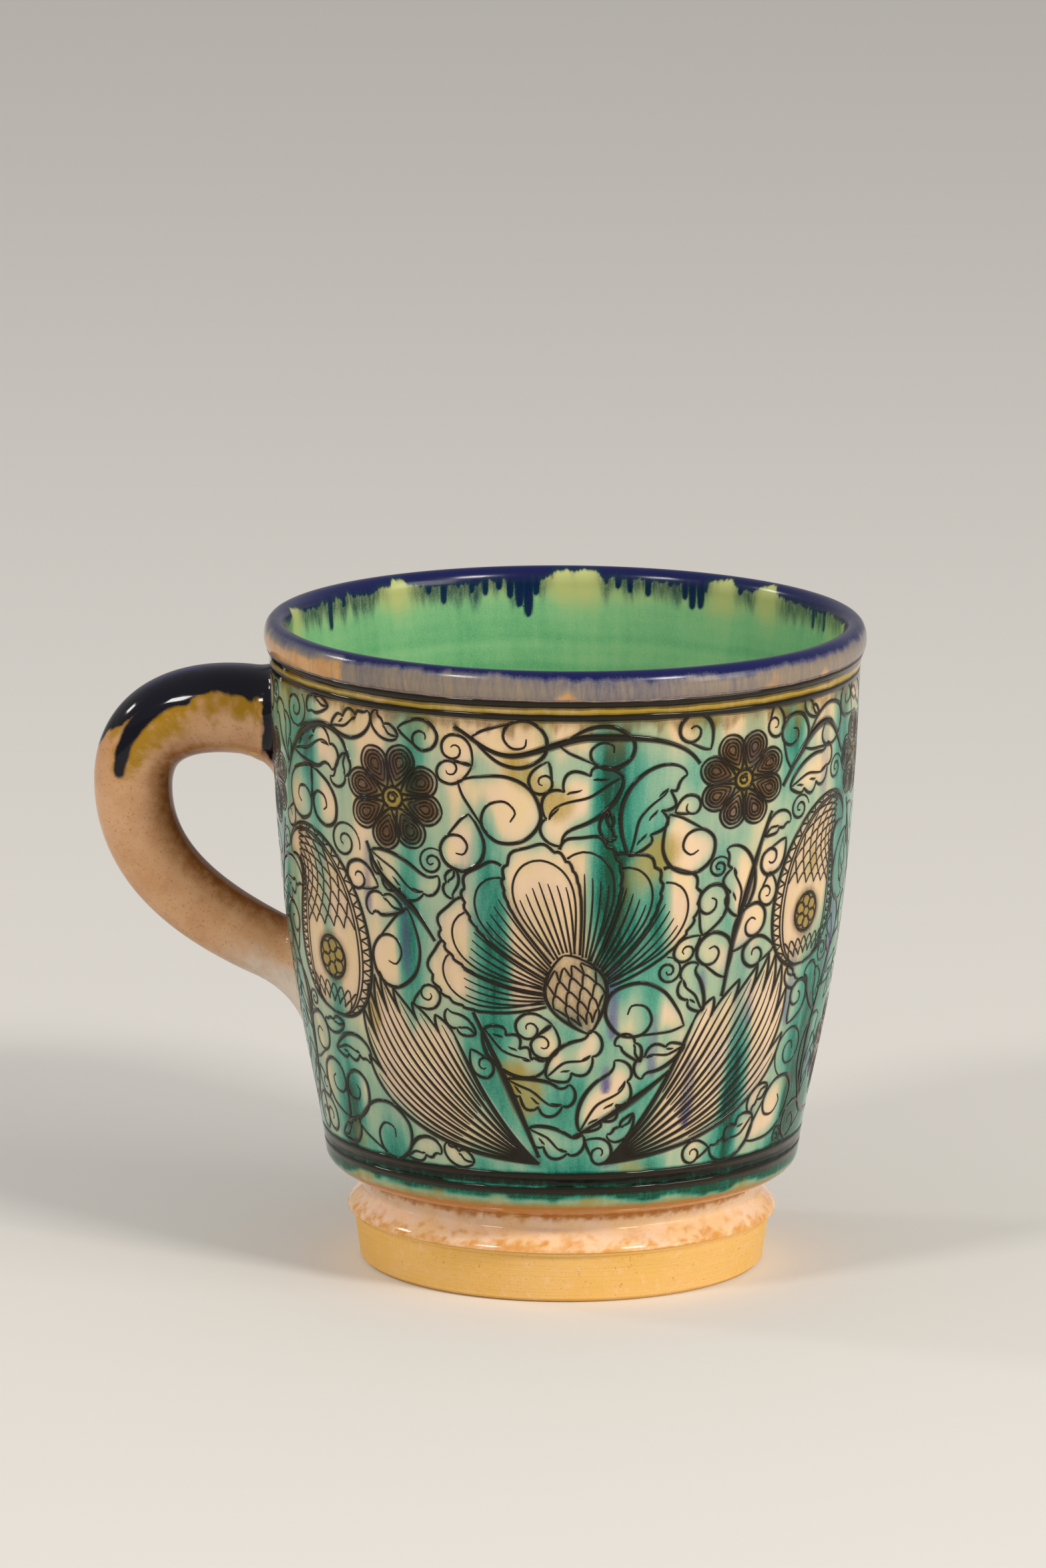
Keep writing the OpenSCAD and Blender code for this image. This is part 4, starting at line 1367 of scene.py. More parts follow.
def band_strokes(bands, seed):
    """The four level lines round the mug, brushed by hand, so that their height and width waver."""
    rng = np.random.default_rng(seed + 30)
    count = int(FIELD_WIDTH / STROKE_STEP)
    u = np.linspace(0, FIELD_WIDTH, count + 1)
    lines = []
    for z, width in ((bands.upper_top + 0.5, 1.15), (bands.field_high + 0.42, 0.95),
                     (bands.field_low - 0.55, 1.1), (bands.lower_line - 0.5, 1.0)):
        sway = np.zeros(count + 1)
        swell = np.zeros(count + 1)
        for wave in (1, 2, 3, 5, 9, 17):
            sway += 0.09 / wave ** 0.7 * np.sin(wave * u * TURN / FIELD_WIDTH + hand(rng, 0, TURN))
            swell += 0.08 * np.sin(wave * 4 * u * TURN / FIELD_WIDTH + hand(rng, 0, TURN))
        line = np.stack([u, z - bands.field_low + sway], -1)
        lines.append((line, width * (1 + 0.5 * swell)))
    return lines


def on_skin(skin, turn, z, lift):
    """Points over the outside at angles and heights, lifted by so much from the axis outwards."""
    r = skin.radius(z) + lift
    return np.stack([r * np.cos(turn), r * np.sin(turn), z], -1)


def stroke_section(skin, line, width, start):
    """Four points for each point of a stroke: a low edge, the raised middle, the other low edge and a sunk
    one under the middle. Where strokes cross, the higher surface shows, which is the darker one."""
    turn = FIELD_SEAM + line[:, 0] / FIELD_RADIUS
    z = line[:, 1] + start
    middle = on_skin(skin, turn, z, 0.0)
    square = skin.square_out(skin.run_at(z))
    normal = np.stack([np.cos(turn) * square[:, 0], np.sin(turn) * square[:, 0], square[:, 1]], -1)
    side = unit(np.cross(normal, unit(np.gradient(middle, axis=0)))) * (width / 2 * INK_SPREAD)[:, None]
    rows = []
    for shift, lift in ((1, INK_LOW), (0, INK_HIGH), (-1, INK_LOW), (0, -0.03)):
        spot = middle + shift * side
        rows.append(on_skin(skin, np.arctan2(spot[:, 1], spot[:, 0]), spot[:, 2], lift))
    return np.stack(rows, 1)


def rectangles(left, low, right, high):
    """The four corners of rectangles on a map, level sides first."""
    corners = [np.stack([u, v], -1) for u, v in ((left, low), (right, low), (right, high), (left, high))]
    return np.stack(corners, -2)


def stroke_piece(name, skin, strokes, start, canvas):
    """One piece of many strokes. Its map for baking lays them end to end in lanes, each lane four bands
    high for the four sides of a stroke."""
    sections = [stroke_section(skin, line, width, start) for line, width in strokes]
    counts = np.array([len(section) for section in sections])
    points = np.concatenate(sections).reshape(-1, 3)
    first = np.cumsum(counts) - counts
    index = np.arange(counts.sum())
    inner = np.ones(len(index), bool)
    inner[first + counts - 1] = False
    i = index[inner][:, None] * 4
    k = np.arange(4)[None, :]
    beside = (k + 1) % 4
    quads = np.stack([i + k, i + 4 + k, i + 4 + beside, i + beside], -1).reshape(-1, 4)
    heads = first[:, None] * 4 + np.arange(4)[None, :]
    tails = (first + counts - 1)[:, None] * 4 + np.arange(4)[None, ::-1]
    lanes = 120
    total = counts.sum() + len(counts)
    lane_length = total / (lanes - 4) * 1.02
    start_at = np.zeros(len(counts))
    lane = np.zeros(len(counts), int)
    used = 0.0
    row = 0
    for n, count in enumerate(counts):
        if used > 0 and used + count > lane_length:
            used = 0.0
            row += 1
        start_at[n] = used
        lane[n] = row
        used += count + 1
    longest = max(lane_length, counts.max() + 1)
    owner = np.repeat(np.arange(len(counts)), counts)
    along = (start_at[owner] + index - first[owner] + 0.5) / longest
    step = 0.9 / longest
    u0 = along[inner][:, None] + 0 * k
    v0 = (lane[owner][inner][:, None] + 0.06 + 0.22 * k) / (row + 1)
    v1 = v0 + 0.2 / (row + 1)
    u1 = u0 + step
    uv = rectangles(u0, v0, u1, v1)
    ends = []
    for place in (start_at, start_at + counts):
        x = (place + 0.05) / longest
        y = (lane + 0.06) / (row + 1)
        w = 0.3 / longest
        h = 0.2 / (row + 1)
        ends.append(rectangles(x, y, x + w, y + h).reshape(-1, 2))
    uv = np.clip(np.concatenate([uv.reshape(-1, 2), *ends]), 0, 1)
    piece = new_piece(name, points, [quads, heads, tails], (), uv)
    turn = np.arctan2(points[:, 1], points[:, 0])
    paint(piece, canvas.at(turn, points[:, 2])[:, :4], np.tile([0.0, 1.0, 0.0, 0.0], len(index)))
    return piece


class MUG_OT_foot(Operator):
    """The bare turned foot with its standing ring, hollow and turning lines."""

    bl_idname = "mug.foot"
    bl_label = "Foot"

    def execute(self, context):
        skin = Skin(context.scene.mug_cup)
        c = skin.cup
        hollow = c.foot_radius - c.ring_width
        arris = skin.line[0]
        under = np.array([
            [0, c.hollow_depth], [hollow - 2 * c.bevel, c.hollow_depth],
            [hollow, c.hollow_depth - 2 * c.bevel], [hollow, c.bevel], [hollow + c.bevel, 0],
            [c.foot_radius - c.bevel, 0], [c.foot_radius, c.bevel],
        ])
        band_top = np.array([c.foot_radius + c.band_flare, c.band_height])
        clay_edge = arris - c.glaze * 0.5 * OUT
        bead = rows_between(0.35, skin.run_at(c.neck_middle), 0.4)
        bead = skin.at(bead) - 1.15 * c.glaze * skin.square_out(bead)
        low = under[-1] + rows_between(0, 1, 0.016)[:, None] * (band_top - under[-1])
        rise = low[:, 1]
        rng = np.random.default_rng(context.scene.mug_view.seed + 1)
        lines = np.convolve(rng.standard_normal(len(low)), [0.25, 0.5, 0.25], "same")
        low = low - (0.02 * np.abs(lines) * smooth(rise, 0.6, 1.2))[:, None] * OUT
        below = sample(under, rows_between(0, lengths(under)[-1], 1.0))
        loop = np.concatenate([below, low[1:], [clay_edge], bead, [[0, bead[-1, 1]]]])
        piece = turned_piece("foot", loop, FOOT_COLUMNS, ["foot_ring"])
        dress(piece, bare_clay(context.scene.mug_colours))
        return {"FINISHED"}


def bare_clay(colours):
    """Matte bare clay with level turning lines, pits and warm and pale patches."""
    material, tree, shader = new_material("bare_clay")
    coords = add(tree, "ShaderNodeTexCoord").outputs["Object"]
    patch = grain(tree, coords, 110, detail=3.0)
    lines = grain(tree, coords, 2600, (0.03, 0.03, 1), 3.0)
    fine = grain(tree, coords, 3500, detail=4.0)
    pits = span(tree, grain(tree, coords, 1500, detail=2.0), 0.66, 0.76)
    cloud = grain(tree, coords, 700, detail=5.0)
    tint = mixed(tree, span(tree, patch, 0.3, 0.7, 0.0, 0.12), colours.bare_clay, colours.bead_pink)
    tint = mixed(tree, span(tree, cloud, 0.5, 0.8, 0.0, 0.3), tint, colours.bead_pink)
    tint = mixed(tree, span(tree, lines, 0.52, 0.8, 0.0, 0.2), tint, colours.clay_dark)
    tint = mixed(tree, span(tree, fine, 0.52, 0.8, 0.0, 0.4), tint, colours.clay_dark)
    tint = mixed(tree, calc(tree, "MULTIPLY", pits, 0.5), tint, colours.neck)
    tree.links.new(tint, shader.inputs["Base Color"])
    shader.inputs["Roughness"].default_value = 0.72
    height = calc(tree, "ADD", calc(tree, "MULTIPLY", lines, 0.7), calc(tree, "MULTIPLY", fine, 0.5))
    height = calc(tree, "SUBTRACT", height, pits)
    bump = add(tree, "ShaderNodeBump", {"Height": height, "Strength": 0.6, "Distance": 0.00008})
    tree.links.new(bump.outputs[0], shader.inputs["Normal"])
    return material


class MUG_OT_foot_coat(Operator):
    """The clear glaze over the bead and the neck, with painted shade under the shoulder."""

    bl_idname = "mug.foot_coat"
    bl_label = "Foot glaze"

    def execute(self, context):
        skin = Skin(context.scene.mug_cup)
        loop, _ = skin.coat(0, skin.hem, 0.3, 1.2)
        piece = turned_piece("foot_coat", loop, COLUMNS, ["foot_glaze"])
        z = over_columns(loop[:, 1], COLUMNS, loop)
        pigments = np.zeros((len(z), 4))
        c = skin.cup
        rng = np.random.default_rng(context.scene.mug_view.seed + 3)
        shape = (len(loop), COLUMNS)
        cloud = rough_field(rng, shape, (16, 150), 4).ravel() - 0.5
        specks = rough_field(rng, shape, (34, 380), 3).ravel() - 0.5
        thin = smooth(c.band_height + 2.0 + 3.0 * cloud - z, -1.4, 1.8)
        pigments[:, 1] = 0.6 * thin + 0.3 * smooth(cloud, -0.2, 0.4) + 0.45 * specks * (0.35 + thin)
        # The neck colour: the clay's own orange where the glaze is thin, deepened into painted shade on the
        # shoulder's underside, full from just above the neck's middle up to the hem.
        high = z + 1.2 * cloud + 0.8 * specks
        pigments[:, 2] = 0.85 * smooth(high, c.neck_middle - 0.4, c.neck_middle + 1.3)
        paint(piece, pigments)
        colours = context.scene.mug_colours
        ground = (colours.bead, colours.bead_pink)
        washes = [(None, ""), one_wash(0.95, colours.bead_speck), one_wash(0.85, colours.neck), (None, "")]
        dress(piece, painted_glaze("bead_glaze", ground, washes, 0.09, speckle=colours.bare_clay))
        return {"FINISHED"}


class MUG_OT_wall_coat(Operator):
    """The painted coat of the wall, and the strokes on it."""

    bl_idname = "mug.wall_coat"
    bl_label = "Wall glaze"

    def execute(self, context):
        seed = context.scene.mug_view.seed
        skin = Skin(context.scene.mug_cup)
        bands = in_mm(context.scene.mug_bands)
        sheet = compose(seed, FIELD_WIDTH, bands.field_high - bands.field_low)
        canvas = painted_canvas(skin, sheet, bands, seed)
        loop, _ = skin.coat(skin.hem, skin.wall_top, 0.56, 3.0)
        piece = turned_piece("wall_coat", loop, COLUMNS, ["outer_glaze"])
        pigments = canvas.at(angles_of(COLUMNS, loop), over_columns(loop[:, 1], COLUMNS, loop))[:, :4]
        paint(piece, pigments, np.zeros(len(pigments)))
        material = wall_glaze(context.scene.mug_colours)
        dress(piece, material)
        strokes = band_strokes(bands, seed) + sheet.strokes
        for k in range(3):
            part = strokes[k::3]
            ink = stroke_piece(f"ink_{k + 1}", skin, part, bands.field_low, canvas)
            dress(ink, material)
        return {"FINISHED"}


def wall_glaze(colours):
    """Cream ground under turquoise, brown, ochre and cobalt washes, with ink on top."""
    copper = [(0.22, colours.pale_copper), (0.5, colours.mid_copper), (0.78, colours.deep_copper),
              (1.0, colours.pool_copper)]
    washes = [(copper, "MIX"), one_wash(0.8, colours.manganese, "MULTIPLY"),
              one_wash(0.85, colours.ochre), one_wash(0.9, colours.drip_violet)]
    return painted_glaze("wall_glaze", (colours.slip, colours.slip_pink), washes, 0.1, inked=colours.ink)


class MUG_OT_rim_coat(Operator):
    """The cobalt coat over the lip."""

    bl_idname = "mug.rim_coat"
    bl_label = "Rim glaze"

    def execute(self, context):
        skin = Skin(context.scene.mug_cup)
        loop, run = skin.coat(skin.wall_top, skin.rim_end, 0.3, 1.6)
        columns = 2 * COLUMNS
        piece = turned_piece("rim_coat", loop, columns, ["rim_glaze"])
        past = over_columns(run - skin.crown, columns, loop)
        paint(piece, lip_paint(angles_of(columns, loop), past, context.scene.mug_view.seed))
        dress(piece, lip_glaze("rim_glaze", context.scene.mug_colours))
        return {"FINISHED"}


def lip_glaze(name, colours):
    """Buff clay under green, a cobalt veil and dark drips, for the lip and the inside."""
    green = [(0.2, colours.lining_pale), (0.55, colours.lining_green), (1.0, colours.lining_deep)]
    veil = [(0.25, colours.cobalt_veil), (0.55, colours.cobalt_mid), (0.85, colours.cobalt)]
    drip = [(0.45, colours.drip_blue), (0.9, colours.cobalt)]
    washes = [(green, "MIX"), (veil, "MIX"), (None, ""), (drip, "MIX")]
    return painted_glaze(name, (colours.buff, colours.buff_pale), washes, 0.17, streaks=0.25)


def round_line(rng, turn, waves):
    """A random line round the mug at angles, from about 0 to 1: random values smoothed by a bell that is
    as wide as a whole turn divided by waves."""
    steps = 4096
    values = np.tile(rng.standard_normal(steps), 3)
    shape = np.convolve(values, np.hanning(max(5, steps // waves)), "same")[steps:2 * steps]
    shape = np.clip(0.5 + 0.24 * shape / shape.std(), 0, 1)
    return np.interp((turn % TURN) / TURN, np.arange(steps + 1) / steps, np.append(shape, shape[0]))


def bumps(turn, places, width):
    """The highest of bell curves round the mug: places holds angles in degrees and heights."""
    total = np.zeros_like(turn)
    for degrees, high in places:
        total = np.maximum(total, high * np.exp(-(away(turn, degrees) / width) ** 2))
    return total


def away(turn, degrees):
    """How many degrees angles are away from one."""
    return np.degrees(np.abs((turn - math.radians(degrees) + math.pi) % TURN - math.pi))


def run_down(turn, past, drips):
    """How far drips cover places inside, from 0 to 1. A drip has an angle, a length and a width: it narrows
    on its way down and ends round."""
    cover = np.zeros_like(turn)
    for degrees, long, wide in drips:
        share = np.clip(past / long, 0, 1)
        half = wide / 2 * (1.25 - 0.5 * share) * np.sqrt(1 - share ** 7)
        off = away(turn, degrees) / DEGREES_A_MM
        cover = np.maximum(cover, smooth(half - off, -0.65, 0.45) * smooth(long - past, -0.2, 0.8))
    return cover


def lip_paint(turn, past, seed):
    """Pigments of the lip and the inside, over the angle and the distance past the crown, which is below
    zero outside. Cobalt lies thick on the lip. Outside it thins to a streaked veil that leaves one stretch
    of clay bare, and inside it runs into the green in fringes and long drips."""
    rng = np.random.default_rng(seed + 40)
    slow = round_line(rng, turn, 14)
    quick = round_line(rng, turn, 90)
    fine = round_line(rng, turn + 0.004 * past, 420)
    thread = round_line(rng, turn - 0.002 * past, 1000)
    few = [(rng.random() * 360, 2.0 + 3.2 * rng.random() ** 3, 0.6 + 0.7 * rng.random()) for _ in range(80)]
    free = np.clip(bumps(turn, GREEN_GAPS, 3.6), 0, 1)
    down = -past
    bare = smooth(22 - away(turn, BARE_MIDDLE), -1.5, 1.0)
    gaps = bumps(turn, BARE_GAPS, 3.0)
    lip = smooth(2.1 + 1.1 * (slow - 0.5) + 0.7 * (quick - 0.5) + 0.3 * (fine - 0.5) - down, -1.3, 1.0)
    reach = 7.4 - 0.9 * (fine - 0.3) * (0.3 + slow) - 4.4 * gaps
    warm = smooth(away(turn, -38), 34, 10)
    veil = 0.34 + 0.16 * (slow - 0.5) + 0.13 * (fine - 0.5) + 0.13 * (thread - 0.5) - 0.1 * warm
    veil = veil + 0.1 * smooth(3.6 - down, 0, 2.4)
    veil = veil * smooth(reach - down, -1.2, 1.0)
    veil = veil * (1 - 0.95 * bare) + 0.1 * bare * smooth(thread, 0.62, 0.8)
    outside = np.maximum(lip * (0.95 - 0.35 * bare * smooth(down, 0.6, 1.6)), veil)
    collar = 2.4 + 1.0 * (slow - 0.5) + 1.0 * (quick - 0.5) + 0.6 * (fine - 0.5) - 1.5 * free
    drip = np.maximum(run_down(turn, past, DRIPS), 0.7 * (1 - free) * run_down(turn, past, few))
    drip = drip * (0.66 + 0.24 * fine + 0.2 * smooth(2.5 - past, -1, 1))
    drip = np.maximum(drip, smooth(collar - past, -1.2, 0.9))
    haze = smooth(collar + 2.6 + 2.2 * (quick - 0.5) + 0.5 * (fine - 0.5) - past, -2.6, 1.5)
    drip = np.maximum(drip, 0.38 * (1 - free) * haze * (0.8 + 0.3 * (thread - 0.5)))
    drip = np.where(past > -0.3, np.clip(drip, 0, 1), 0)
    cobalt = np.where(past < 0.3, outside, 0)
    green = 0.3 + 0.16 * (slow - 0.5) * smooth(past, 2, 8) + 0.36 * smooth(past, 2, 9)
    green = green + 0.2 * smooth(past, 12, 45)
    green = green * (1 + 0.1 * (quick - 0.5) * smooth(past, 1, 8)) - 0.2 * free * smooth(11 - past, 0, 6)
    rings = np.sin(past * 1.15 + 2.2 * slow) + 0.6 * np.sin(past * 2.7 + 1.7 * slow)
    green = smooth(past, 0.4, 1.2) * np.clip(green * (1 + 0.09 * rings * smooth(past, 6, 12)), 0.2, 1)
    return np.stack([green, cobalt, 0 * past, drip], -1)


class MUG_OT_lining(Operator):
    """The green coat inside."""

    bl_idname = "mug.lining"
    bl_label = "Lining"

    def execute(self, context):
        skin = Skin(context.scene.mug_cup)
        top = rows_between(skin.rim_end, skin.rim_end + 20, 0.4)
        rest = rows_between(skin.rim_end + 20, skin.end, 1.5)
        back = rows_between(skin.rim_end, skin.end, 2.5)[::-1]
        front = np.concatenate([top[:1], top[:1] + EDGE, top[1:], rest[1:]])
        loop = np.concatenate([skin.under(back), skin.at(front)])
        run = np.concatenate([back, front])
        piece = turned_piece("lining", loop, COLUMNS, ["inner_glaze"])
        past = over_columns(run - skin.crown, COLUMNS, loop)
        paint(piece, lip_paint(angles_of(COLUMNS, loop), past, context.scene.mug_view.seed))
        dress(piece, lip_glaze("lining_glaze", context.scene.mug_colours))
        return {"FINISHED"}


def handle_line(h, skin):
    """The handle's centre line as distance from the axis and height, and its radius along it: two cubic
    curves from the upper joint to the outermost point and back to the lower joint."""
    root = np.array([skin.radius(h.upper_height) - skin.cup.glaze - h.sink, h.upper_height])
    tail = np.array([skin.radius(h.lower_height) - skin.cup.glaze - h.sink, h.lower_height])
    side = np.array([h.reach - h.side / 2, h.side_height])
    loop_h = h.upper_height - h.lower_height
    root_pull = 0.352 * loop_h * np.array([math.cos(h.upper_rise), math.sin(h.upper_rise)])
    tail_pull = 0.291 * loop_h * np.array([math.cos(h.lower_fall), math.sin(h.lower_fall)])
    steps = 200
    line = np.concatenate([
        [root],
        cubic(root, root + root_pull, side + 0.326 * loop_h * UP, side, steps),
        cubic(side, side - 0.46 * loop_h * UP, tail + tail_pull, tail, steps),
    ])
    t = np.arange(len(line)) / steps
    thick = np.polyval(np.polyfit([0, 0.5, 1, 1.5, 2], [h.root, h.crest, h.side, h.low, h.tail], 4), t)
    run = lengths(line)
    at = rows_between(0, run[-1], 0.4)
    return sample(line, at), np.interp(at, run, thick) / 2, at


def on_wall(skin, points, sink):
    """Points moved along X onto the wall's surface, or a little under it."""
    r = skin.radius(points[..., 2]) - sink
    x = -np.sqrt(np.maximum(r * r - points[..., 1] ** 2, 1))
    return np.stack([x, points[..., 1], points[..., 2]], -1)


def handle_rings(h, skin, grow, sides):
    """Rings of the handle's coat from the footprint on the wall at the upper joint to the one at the lower
    joint. Between them runs a round section along the centre line. At each joint every side's line leaves
    the handle, is drawn towards the corner with the wall and ends on the wall, so that slip fills the
    corner. Gives the rings and each one's distance along the handle from the upper wall."""
    line, radius, at = handle_line(h, skin)
    along = unit(np.gradient(line, axis=0))
    outward = np.stack([-along[:, 1], along[:, 0]], -1)
    turn = TURN * np.arange(sides) / sides
    reach = (radius + grow)[:, None] * np.cos(turn)
    rings = np.stack([
        -(line[:, :1] + reach * outward[:, :1]),
        (radius + grow)[:, None] * np.sin(turn),
        line[:, 1:] + reach * outward[:, 1:],
    ], -1)
    outside = np.hypot(rings[..., 0], rings[..., 1]) > skin.radius(rings[..., 2]) + grow
    columns = np.arange(sides)
    upper = np.searchsorted(at, h.sink + h.upper_slip)
    lower = np.searchsorted(at, at[-1] - h.sink - h.lower_slip)
    middle = len(at) // 2
    enter = np.argmax(outside[:middle], axis=0)
    leave = middle + np.argmin(outside[middle:], axis=0)
    steps = np.linspace(0, 1, 25)[:, None, None]

    def fillet(start, corner, centre_z, down):
        """Points from the handle through the corner to the wall, where down is the reach at the bottom."""
        aside = unit(np.stack([0 * corner[:, 0], corner[:, 1], corner[:, 2] - centre_z], -1))
        spread = h.slip_side + (down - h.slip_side) * np.maximum(0, -aside[:, 2]) ** 2
        end = on_wall(skin, corner + aside * spread[:, None], 0.25 - grow)
        return (1 - steps) ** 2 * start + 2 * (1 - steps) * steps * corner + steps ** 2 * end

    top = fillet(rings[upper], rings[enter, columns], h.upper_height, h.upper_down)[::-1]
    bottom = fillet(rings[lower], rings[leave, columns], h.lower_height, h.lower_down)
    whole = np.concatenate([top[:-1], rings[upper:lower], bottom])
    place = np.concatenate([
        np.linspace(0, at[upper] - h.sink, 25)[:-1],
        at[upper:lower] - h.sink,
        np.linspace(at[lower], at[-1] - h.sink, 25) - h.sink,
    ])
    return whole, place


class MUG_OT_handle_coat(Operator):
    """The handle's coat with its dark run, blended into the wall at both joints."""

    bl_idname = "mug.handle_coat"
    bl_label = "Handle glaze"

    def execute(self, context):
        skin = Skin(context.scene.mug_cup)
        h = in_mm(context.scene.mug_handle)
        sides = 120
        outer, place = handle_rings(h, skin, 0.0, sides)
        inner, _ = handle_rings(h, skin, -skin.cup.glaze * COAT_SHARE, sides)
        rings = np.concatenate([outer, inner[::-1]])
        faces = [grid_quads(len(rings), sides, True)]
        points = rings.reshape(-1, 3)
        if signed_volume(points, faces) < 0:
            faces = [f[:, ::-1] for f in faces]
        replaced = ["handle_glaze", "handle_blue_glaze"]
        piece = new_piece("handle_coat", points, faces, replaced)
        paint(piece, handle_paint(place, sides, context.scene.mug_view.seed))
        colours = context.scene.mug_colours
        black = [(0.5, colours.handle_black), (0.8, colours.handle_black), (1.0, colours.handle_blue)]
        washes = [one_wash(0.8, colours.handle_white), one_wash(0.9, colours.handle_brown),
                  one_wash(0.85, colours.handle_ochre), (black, "MIX")]
        dress(piece, painted_glaze("handle_glaze", (colours.handle, colours.handle_pale), washes, 0.08,
                                   speckle=colours.handle_brown, streaks=0.2))
        return {"FINISHED"}


def handle_paint(place, sides, seed):
    """Pigments of the handle over distance from the upper wall and angle round the section, where nothing
    is the outer side. The dark run covers the crest, a long drip and a thin line leave it, ochre lies all
    along its edge, brown in the handle's hollow side, partly its own and partly painted shade, and white
    where the glaze pooled at the tail."""
    rng = np.random.default_rng(seed + 11)
    turn = TURN * np.arange(sides) / sides
    side = np.degrees(np.where(turn > math.pi, turn - TURN, turn))[None, :]
    s = place[:, None]
    shape = (len(place), sides)
    wobble = rough_field(rng, shape, (40, 16)) - 0.5
    mottle = rough_field(rng, shape, (90, 30)) - 0.5
    edge = np.interp(place, [0, 6, 14, 19, 23, 26], [66, 60, 68, 62, 34, 0])[:, None] + 30 * wobble
    run = smooth(edge - np.abs(side), -7, 9)
    middle = np.interp(place, [10, 16, 21, 25, 29], [-50, -58, -68, -75, -79])[:, None]
    half = np.interp(place, [10, 16, 21, 25, 28.6], [14, 14, 12, 9, 6])[:, None]
    drip = smooth(half + 6 * wobble - np.abs(side - middle), -6, 6)
    drip = drip * smooth(28.6 - s, 0, 1.4) * smooth(s, 11, 14)
    line = smooth(8 + 6 * wobble - np.abs(side - 4), 0, 6) * smooth(33 - s, 0, 6)
    crease = smooth(2.9 + 1.6 * wobble - s, -0.2, 0.8) * smooth(150 - np.abs(side), 0, 24)
    # The run is densest on the handle's outer, upward side, where it turns navy. This is partly the cobalt's
    # own blue and partly a painted blue sheen.
    crest = 0.72 + 0.28 * smooth(34 + 20 * wobble - np.abs(side - 6), 0, 24)
    black = crest * np.maximum.reduce([run, drip, line, crease])
    near = smooth(edge + 40 + 30 * wobble - np.abs(side), 0, 36) * smooth(27 - s, 0, 7)
    beside = smooth(34 + 24 * wobble - np.abs(side + 84), 0, 24) * smooth(30.5 - s, 0, 6)
    near = np.maximum(near, beside * smooth(s, 10, 16))
    # Brown on the hollow inner side: partly the glaze's own colour and partly painted shade where the loop
    # shades itself. The mottled share below is the glaze's own.
    brown = smooth(np.abs(side) + 26 * wobble + 14 * mottle, 90, 180) * smooth(s, 3, 14)
    brown = brown * (0.86 + 0.3 * mottle)
    brown = np.maximum(brown, 0.22 * smooth(mottle + wobble, 0.02, 0.4))
    tail = smooth(s, place[-1] - 17, place[-1] - 3) * smooth(128 + 40 * wobble - np.abs(side), 0, 100)
    white = tail * (0.8 + 0.7 * mottle)
    front = np.stack([white, brown, 0.95 * near * (0.85 + mottle), black], -1)
    return np.concatenate([front, front[::-1]]).reshape(-1, 4)


class MUG_OT_clay(Operator):
    """Clay of the pieces that the coats cover."""

    bl_idname = "mug.clay"
    bl_label = "Clay"

    def execute(self, context):
        material = bare_clay(context.scene.mug_colours)
        material.name = "covered_clay"
        for name in ("cup_body", "handle", "upper_joint_slip", "lower_joint_slip"):
            dress(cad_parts[name], material)
        return {"FINISHED"}


class MUG_OT_stage(Operator):
    """Pale floor and backdrop in one sweep, soft lamps and the camera."""

    bl_idname = "mug.stage"
    bl_label = "Stage"

    def execute(self, context):
        view = context.scene.mug_view
        build_floor(context)
        build_lamps(context)
        build_camera(context, view)
        settings = context.scene.view_settings
        settings.view_transform = "Standard"
        return {"FINISHED"}


def build_floor(context):
    """A round floor that sweeps up far out by a smooth step. Its flat part reaches past every camera, so
    that none stands behind the sweep."""
    columns = 128
    reach = np.concatenate([[0.0, 200, 500, 1500, 3000], np.linspace(FLOOR_FLAT, FLOOR_END, 34)])
    rise = FLOOR_RISE * smooth(reach, FLOOR_FLAT, FLOOR_END)
    turn = TURN * np.arange(columns) / columns
    points = np.stack([reach[1:, None] * np.cos(turn), reach[1:, None] * np.sin(turn),
                       np.broadcast_to(rise[1:, None], (len(reach) - 1, columns))], -1).reshape(-1, 3)
    quads = grid_quads(len(reach) - 1, columns, False)
    j = np.arange(columns)
    fan = np.stack([np.full(columns, len(points)), j, (j + 1) % columns], -1)
    points = np.concatenate([points, [[0, 0, 0]]])
    mesh = bpy.data.meshes.new("floor")
    mesh.from_pydata((points * MM).tolist(), [], quads[:, ::-1].tolist() + fan.tolist())
    mesh.polygons.foreach_set("use_smooth", np.ones(len(mesh.polygons), bool))
    floor = bpy.data.objects.new("floor", mesh)
    context.scene.collection.objects.link(floor)
    material, _, shader = new_material("pale_floor")
    shader.inputs["Base Color"].default_value = opaque(context.scene.mug_colours.floor)
    shader.inputs["Roughness"].default_value = 0.7
    dress(floor, material)


def build_lamps(context):
    """Two window-like softboxes high on the left and right of the view, a wide low one on the right, a
    small one from the left and an even world."""
    lamps = [
        ("key", (1.13, -0.9, 1.15), (0.34, 0.26), 13.6, (1.0, 0.95, 0.89)),
        ("second", (-0.86, -1.13, 1.15), (0.3, 0.22), 7.7, (1.0, 0.97, 0.93)),
        ("side", (1.5, -0.5, 0.62), (0.8, 0.6), 8.8, (1.0, 0.94, 0.87)),
        ("left", (-1.5, 0.2, 0.95), (0.24, 0.2), 3.5, (1.0, 0.98, 0.95)),
    ]
    for name, place, size, power, tint in lamps:
        data = bpy.data.lights.new(name, "AREA")
        data.shape = "RECTANGLE"
        data.size = size[0]
        data.size_y = size[1]
        data.energy = power
        data.color = tint
        lamp = bpy.data.objects.new(name, data)
        lamp.location = place
        lamp.rotation_mode = "QUATERNION"
        lamp.rotation_quaternion = (Vector((0, 0, 0.05)) - lamp.location).to_track_quat("-Z", "Y")
        context.scene.collection.objects.link(lamp)
    world = bpy.data.worlds.new("studio")
    world.use_nodes = True
    world.node_tree.nodes["Background"].inputs["Color"].default_value = (1.0, 0.985, 0.96, 1)
    world.node_tree.nodes["Background"].inputs["Strength"].default_value = 0.46
    context.scene.world = world


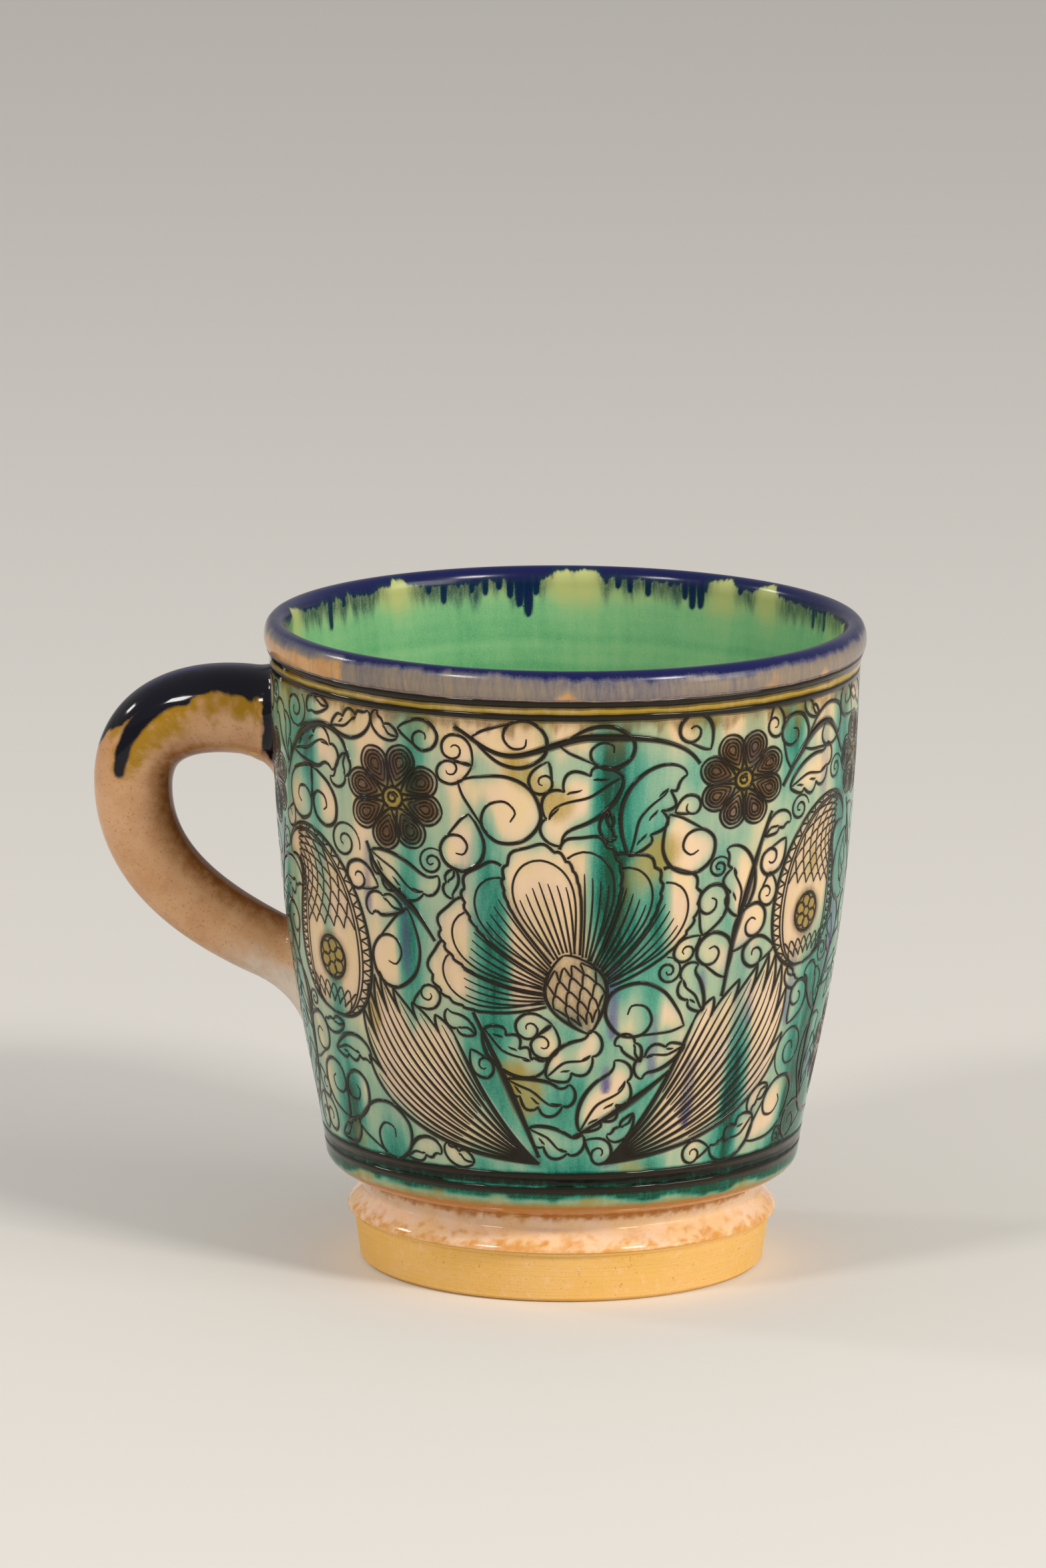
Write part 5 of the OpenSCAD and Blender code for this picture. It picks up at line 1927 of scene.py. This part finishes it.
def build_camera(context, view):
    """The camera looks at its target from its azimuth, elevation and distance, and leans by its roll."""
    forward_flat = Vector((-math.sin(view.azimuth), math.cos(view.azimuth), 0))
    right = Vector((math.cos(view.azimuth), math.sin(view.azimuth), 0))
    forward = forward_flat * math.cos(view.elevation) - Vector((0, 0, 1)) * math.sin(view.elevation)
    target = right * view.aside + Vector((0, 0, view.target_height))
    up = right.cross(forward)
    leaned = math.cos(view.roll) * right + math.sin(view.roll) * up
    up = leaned.cross(forward)
    data = bpy.data.cameras.new("camera")
    data.lens = view.lens
    data.sensor_width = 36
    data.clip_start = 0.01
    data.clip_end = 50
    camera = bpy.data.objects.new("camera", data)
    axes = Matrix((leaned, up, -forward)).transposed().to_4x4()
    camera.matrix_world = Matrix.Translation(target - forward * view.distance) @ axes
    context.scene.collection.objects.link(camera)
    context.scene.camera = camera


class MUG_PT_panel(Panel):
    """Lists the mug's operators and settings."""

    bl_label = "Mug"
    bl_idname = "MUG_PT_panel"
    bl_space_type = "VIEW_3D"
    bl_region_type = "UI"
    bl_category = "Mug"

    def draw(self, context):
        for operator in OPERATORS:
            self.layout.operator(operator.bl_idname)
        for name in SETTINGS:
            group = getattr(context.scene, name)
            box = self.layout.box()
            for key in type(group).__annotations__:
                box.prop(group, key)


OPERATORS = [MUG_OT_clay, MUG_OT_foot, MUG_OT_foot_coat, MUG_OT_wall_coat, MUG_OT_rim_coat,
             MUG_OT_lining, MUG_OT_handle_coat, MUG_OT_stage]
SETTINGS = {"mug_cup": MugCup, "mug_bands": MugBands, "mug_handle": MugHandle, "mug_colours": MugColours,
            "mug_view": MugView}


def register():
    """Registers the classes and hangs the settings on the scene."""
    for kind in [*SETTINGS.values(), *OPERATORS, MUG_PT_panel]:
        bpy.utils.register_class(kind)
    for name, kind in SETTINGS.items():
        setattr(bpy.types.Scene, name, PointerProperty(type=kind))


def unregister():
    """Takes the settings off the scene and the classes out."""
    for name in SETTINGS:
        delattr(bpy.types.Scene, name)
    for kind in reversed([*SETTINGS.values(), *OPERATORS, MUG_PT_panel]):
        bpy.utils.unregister_class(kind)


def main():
    """Registers the add-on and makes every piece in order."""
    register()
    for operator in OPERATORS:
        group, name = operator.bl_idname.split(".")
        getattr(getattr(bpy.ops, group), name)()
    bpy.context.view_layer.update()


if __name__ == "__main__":
    main()
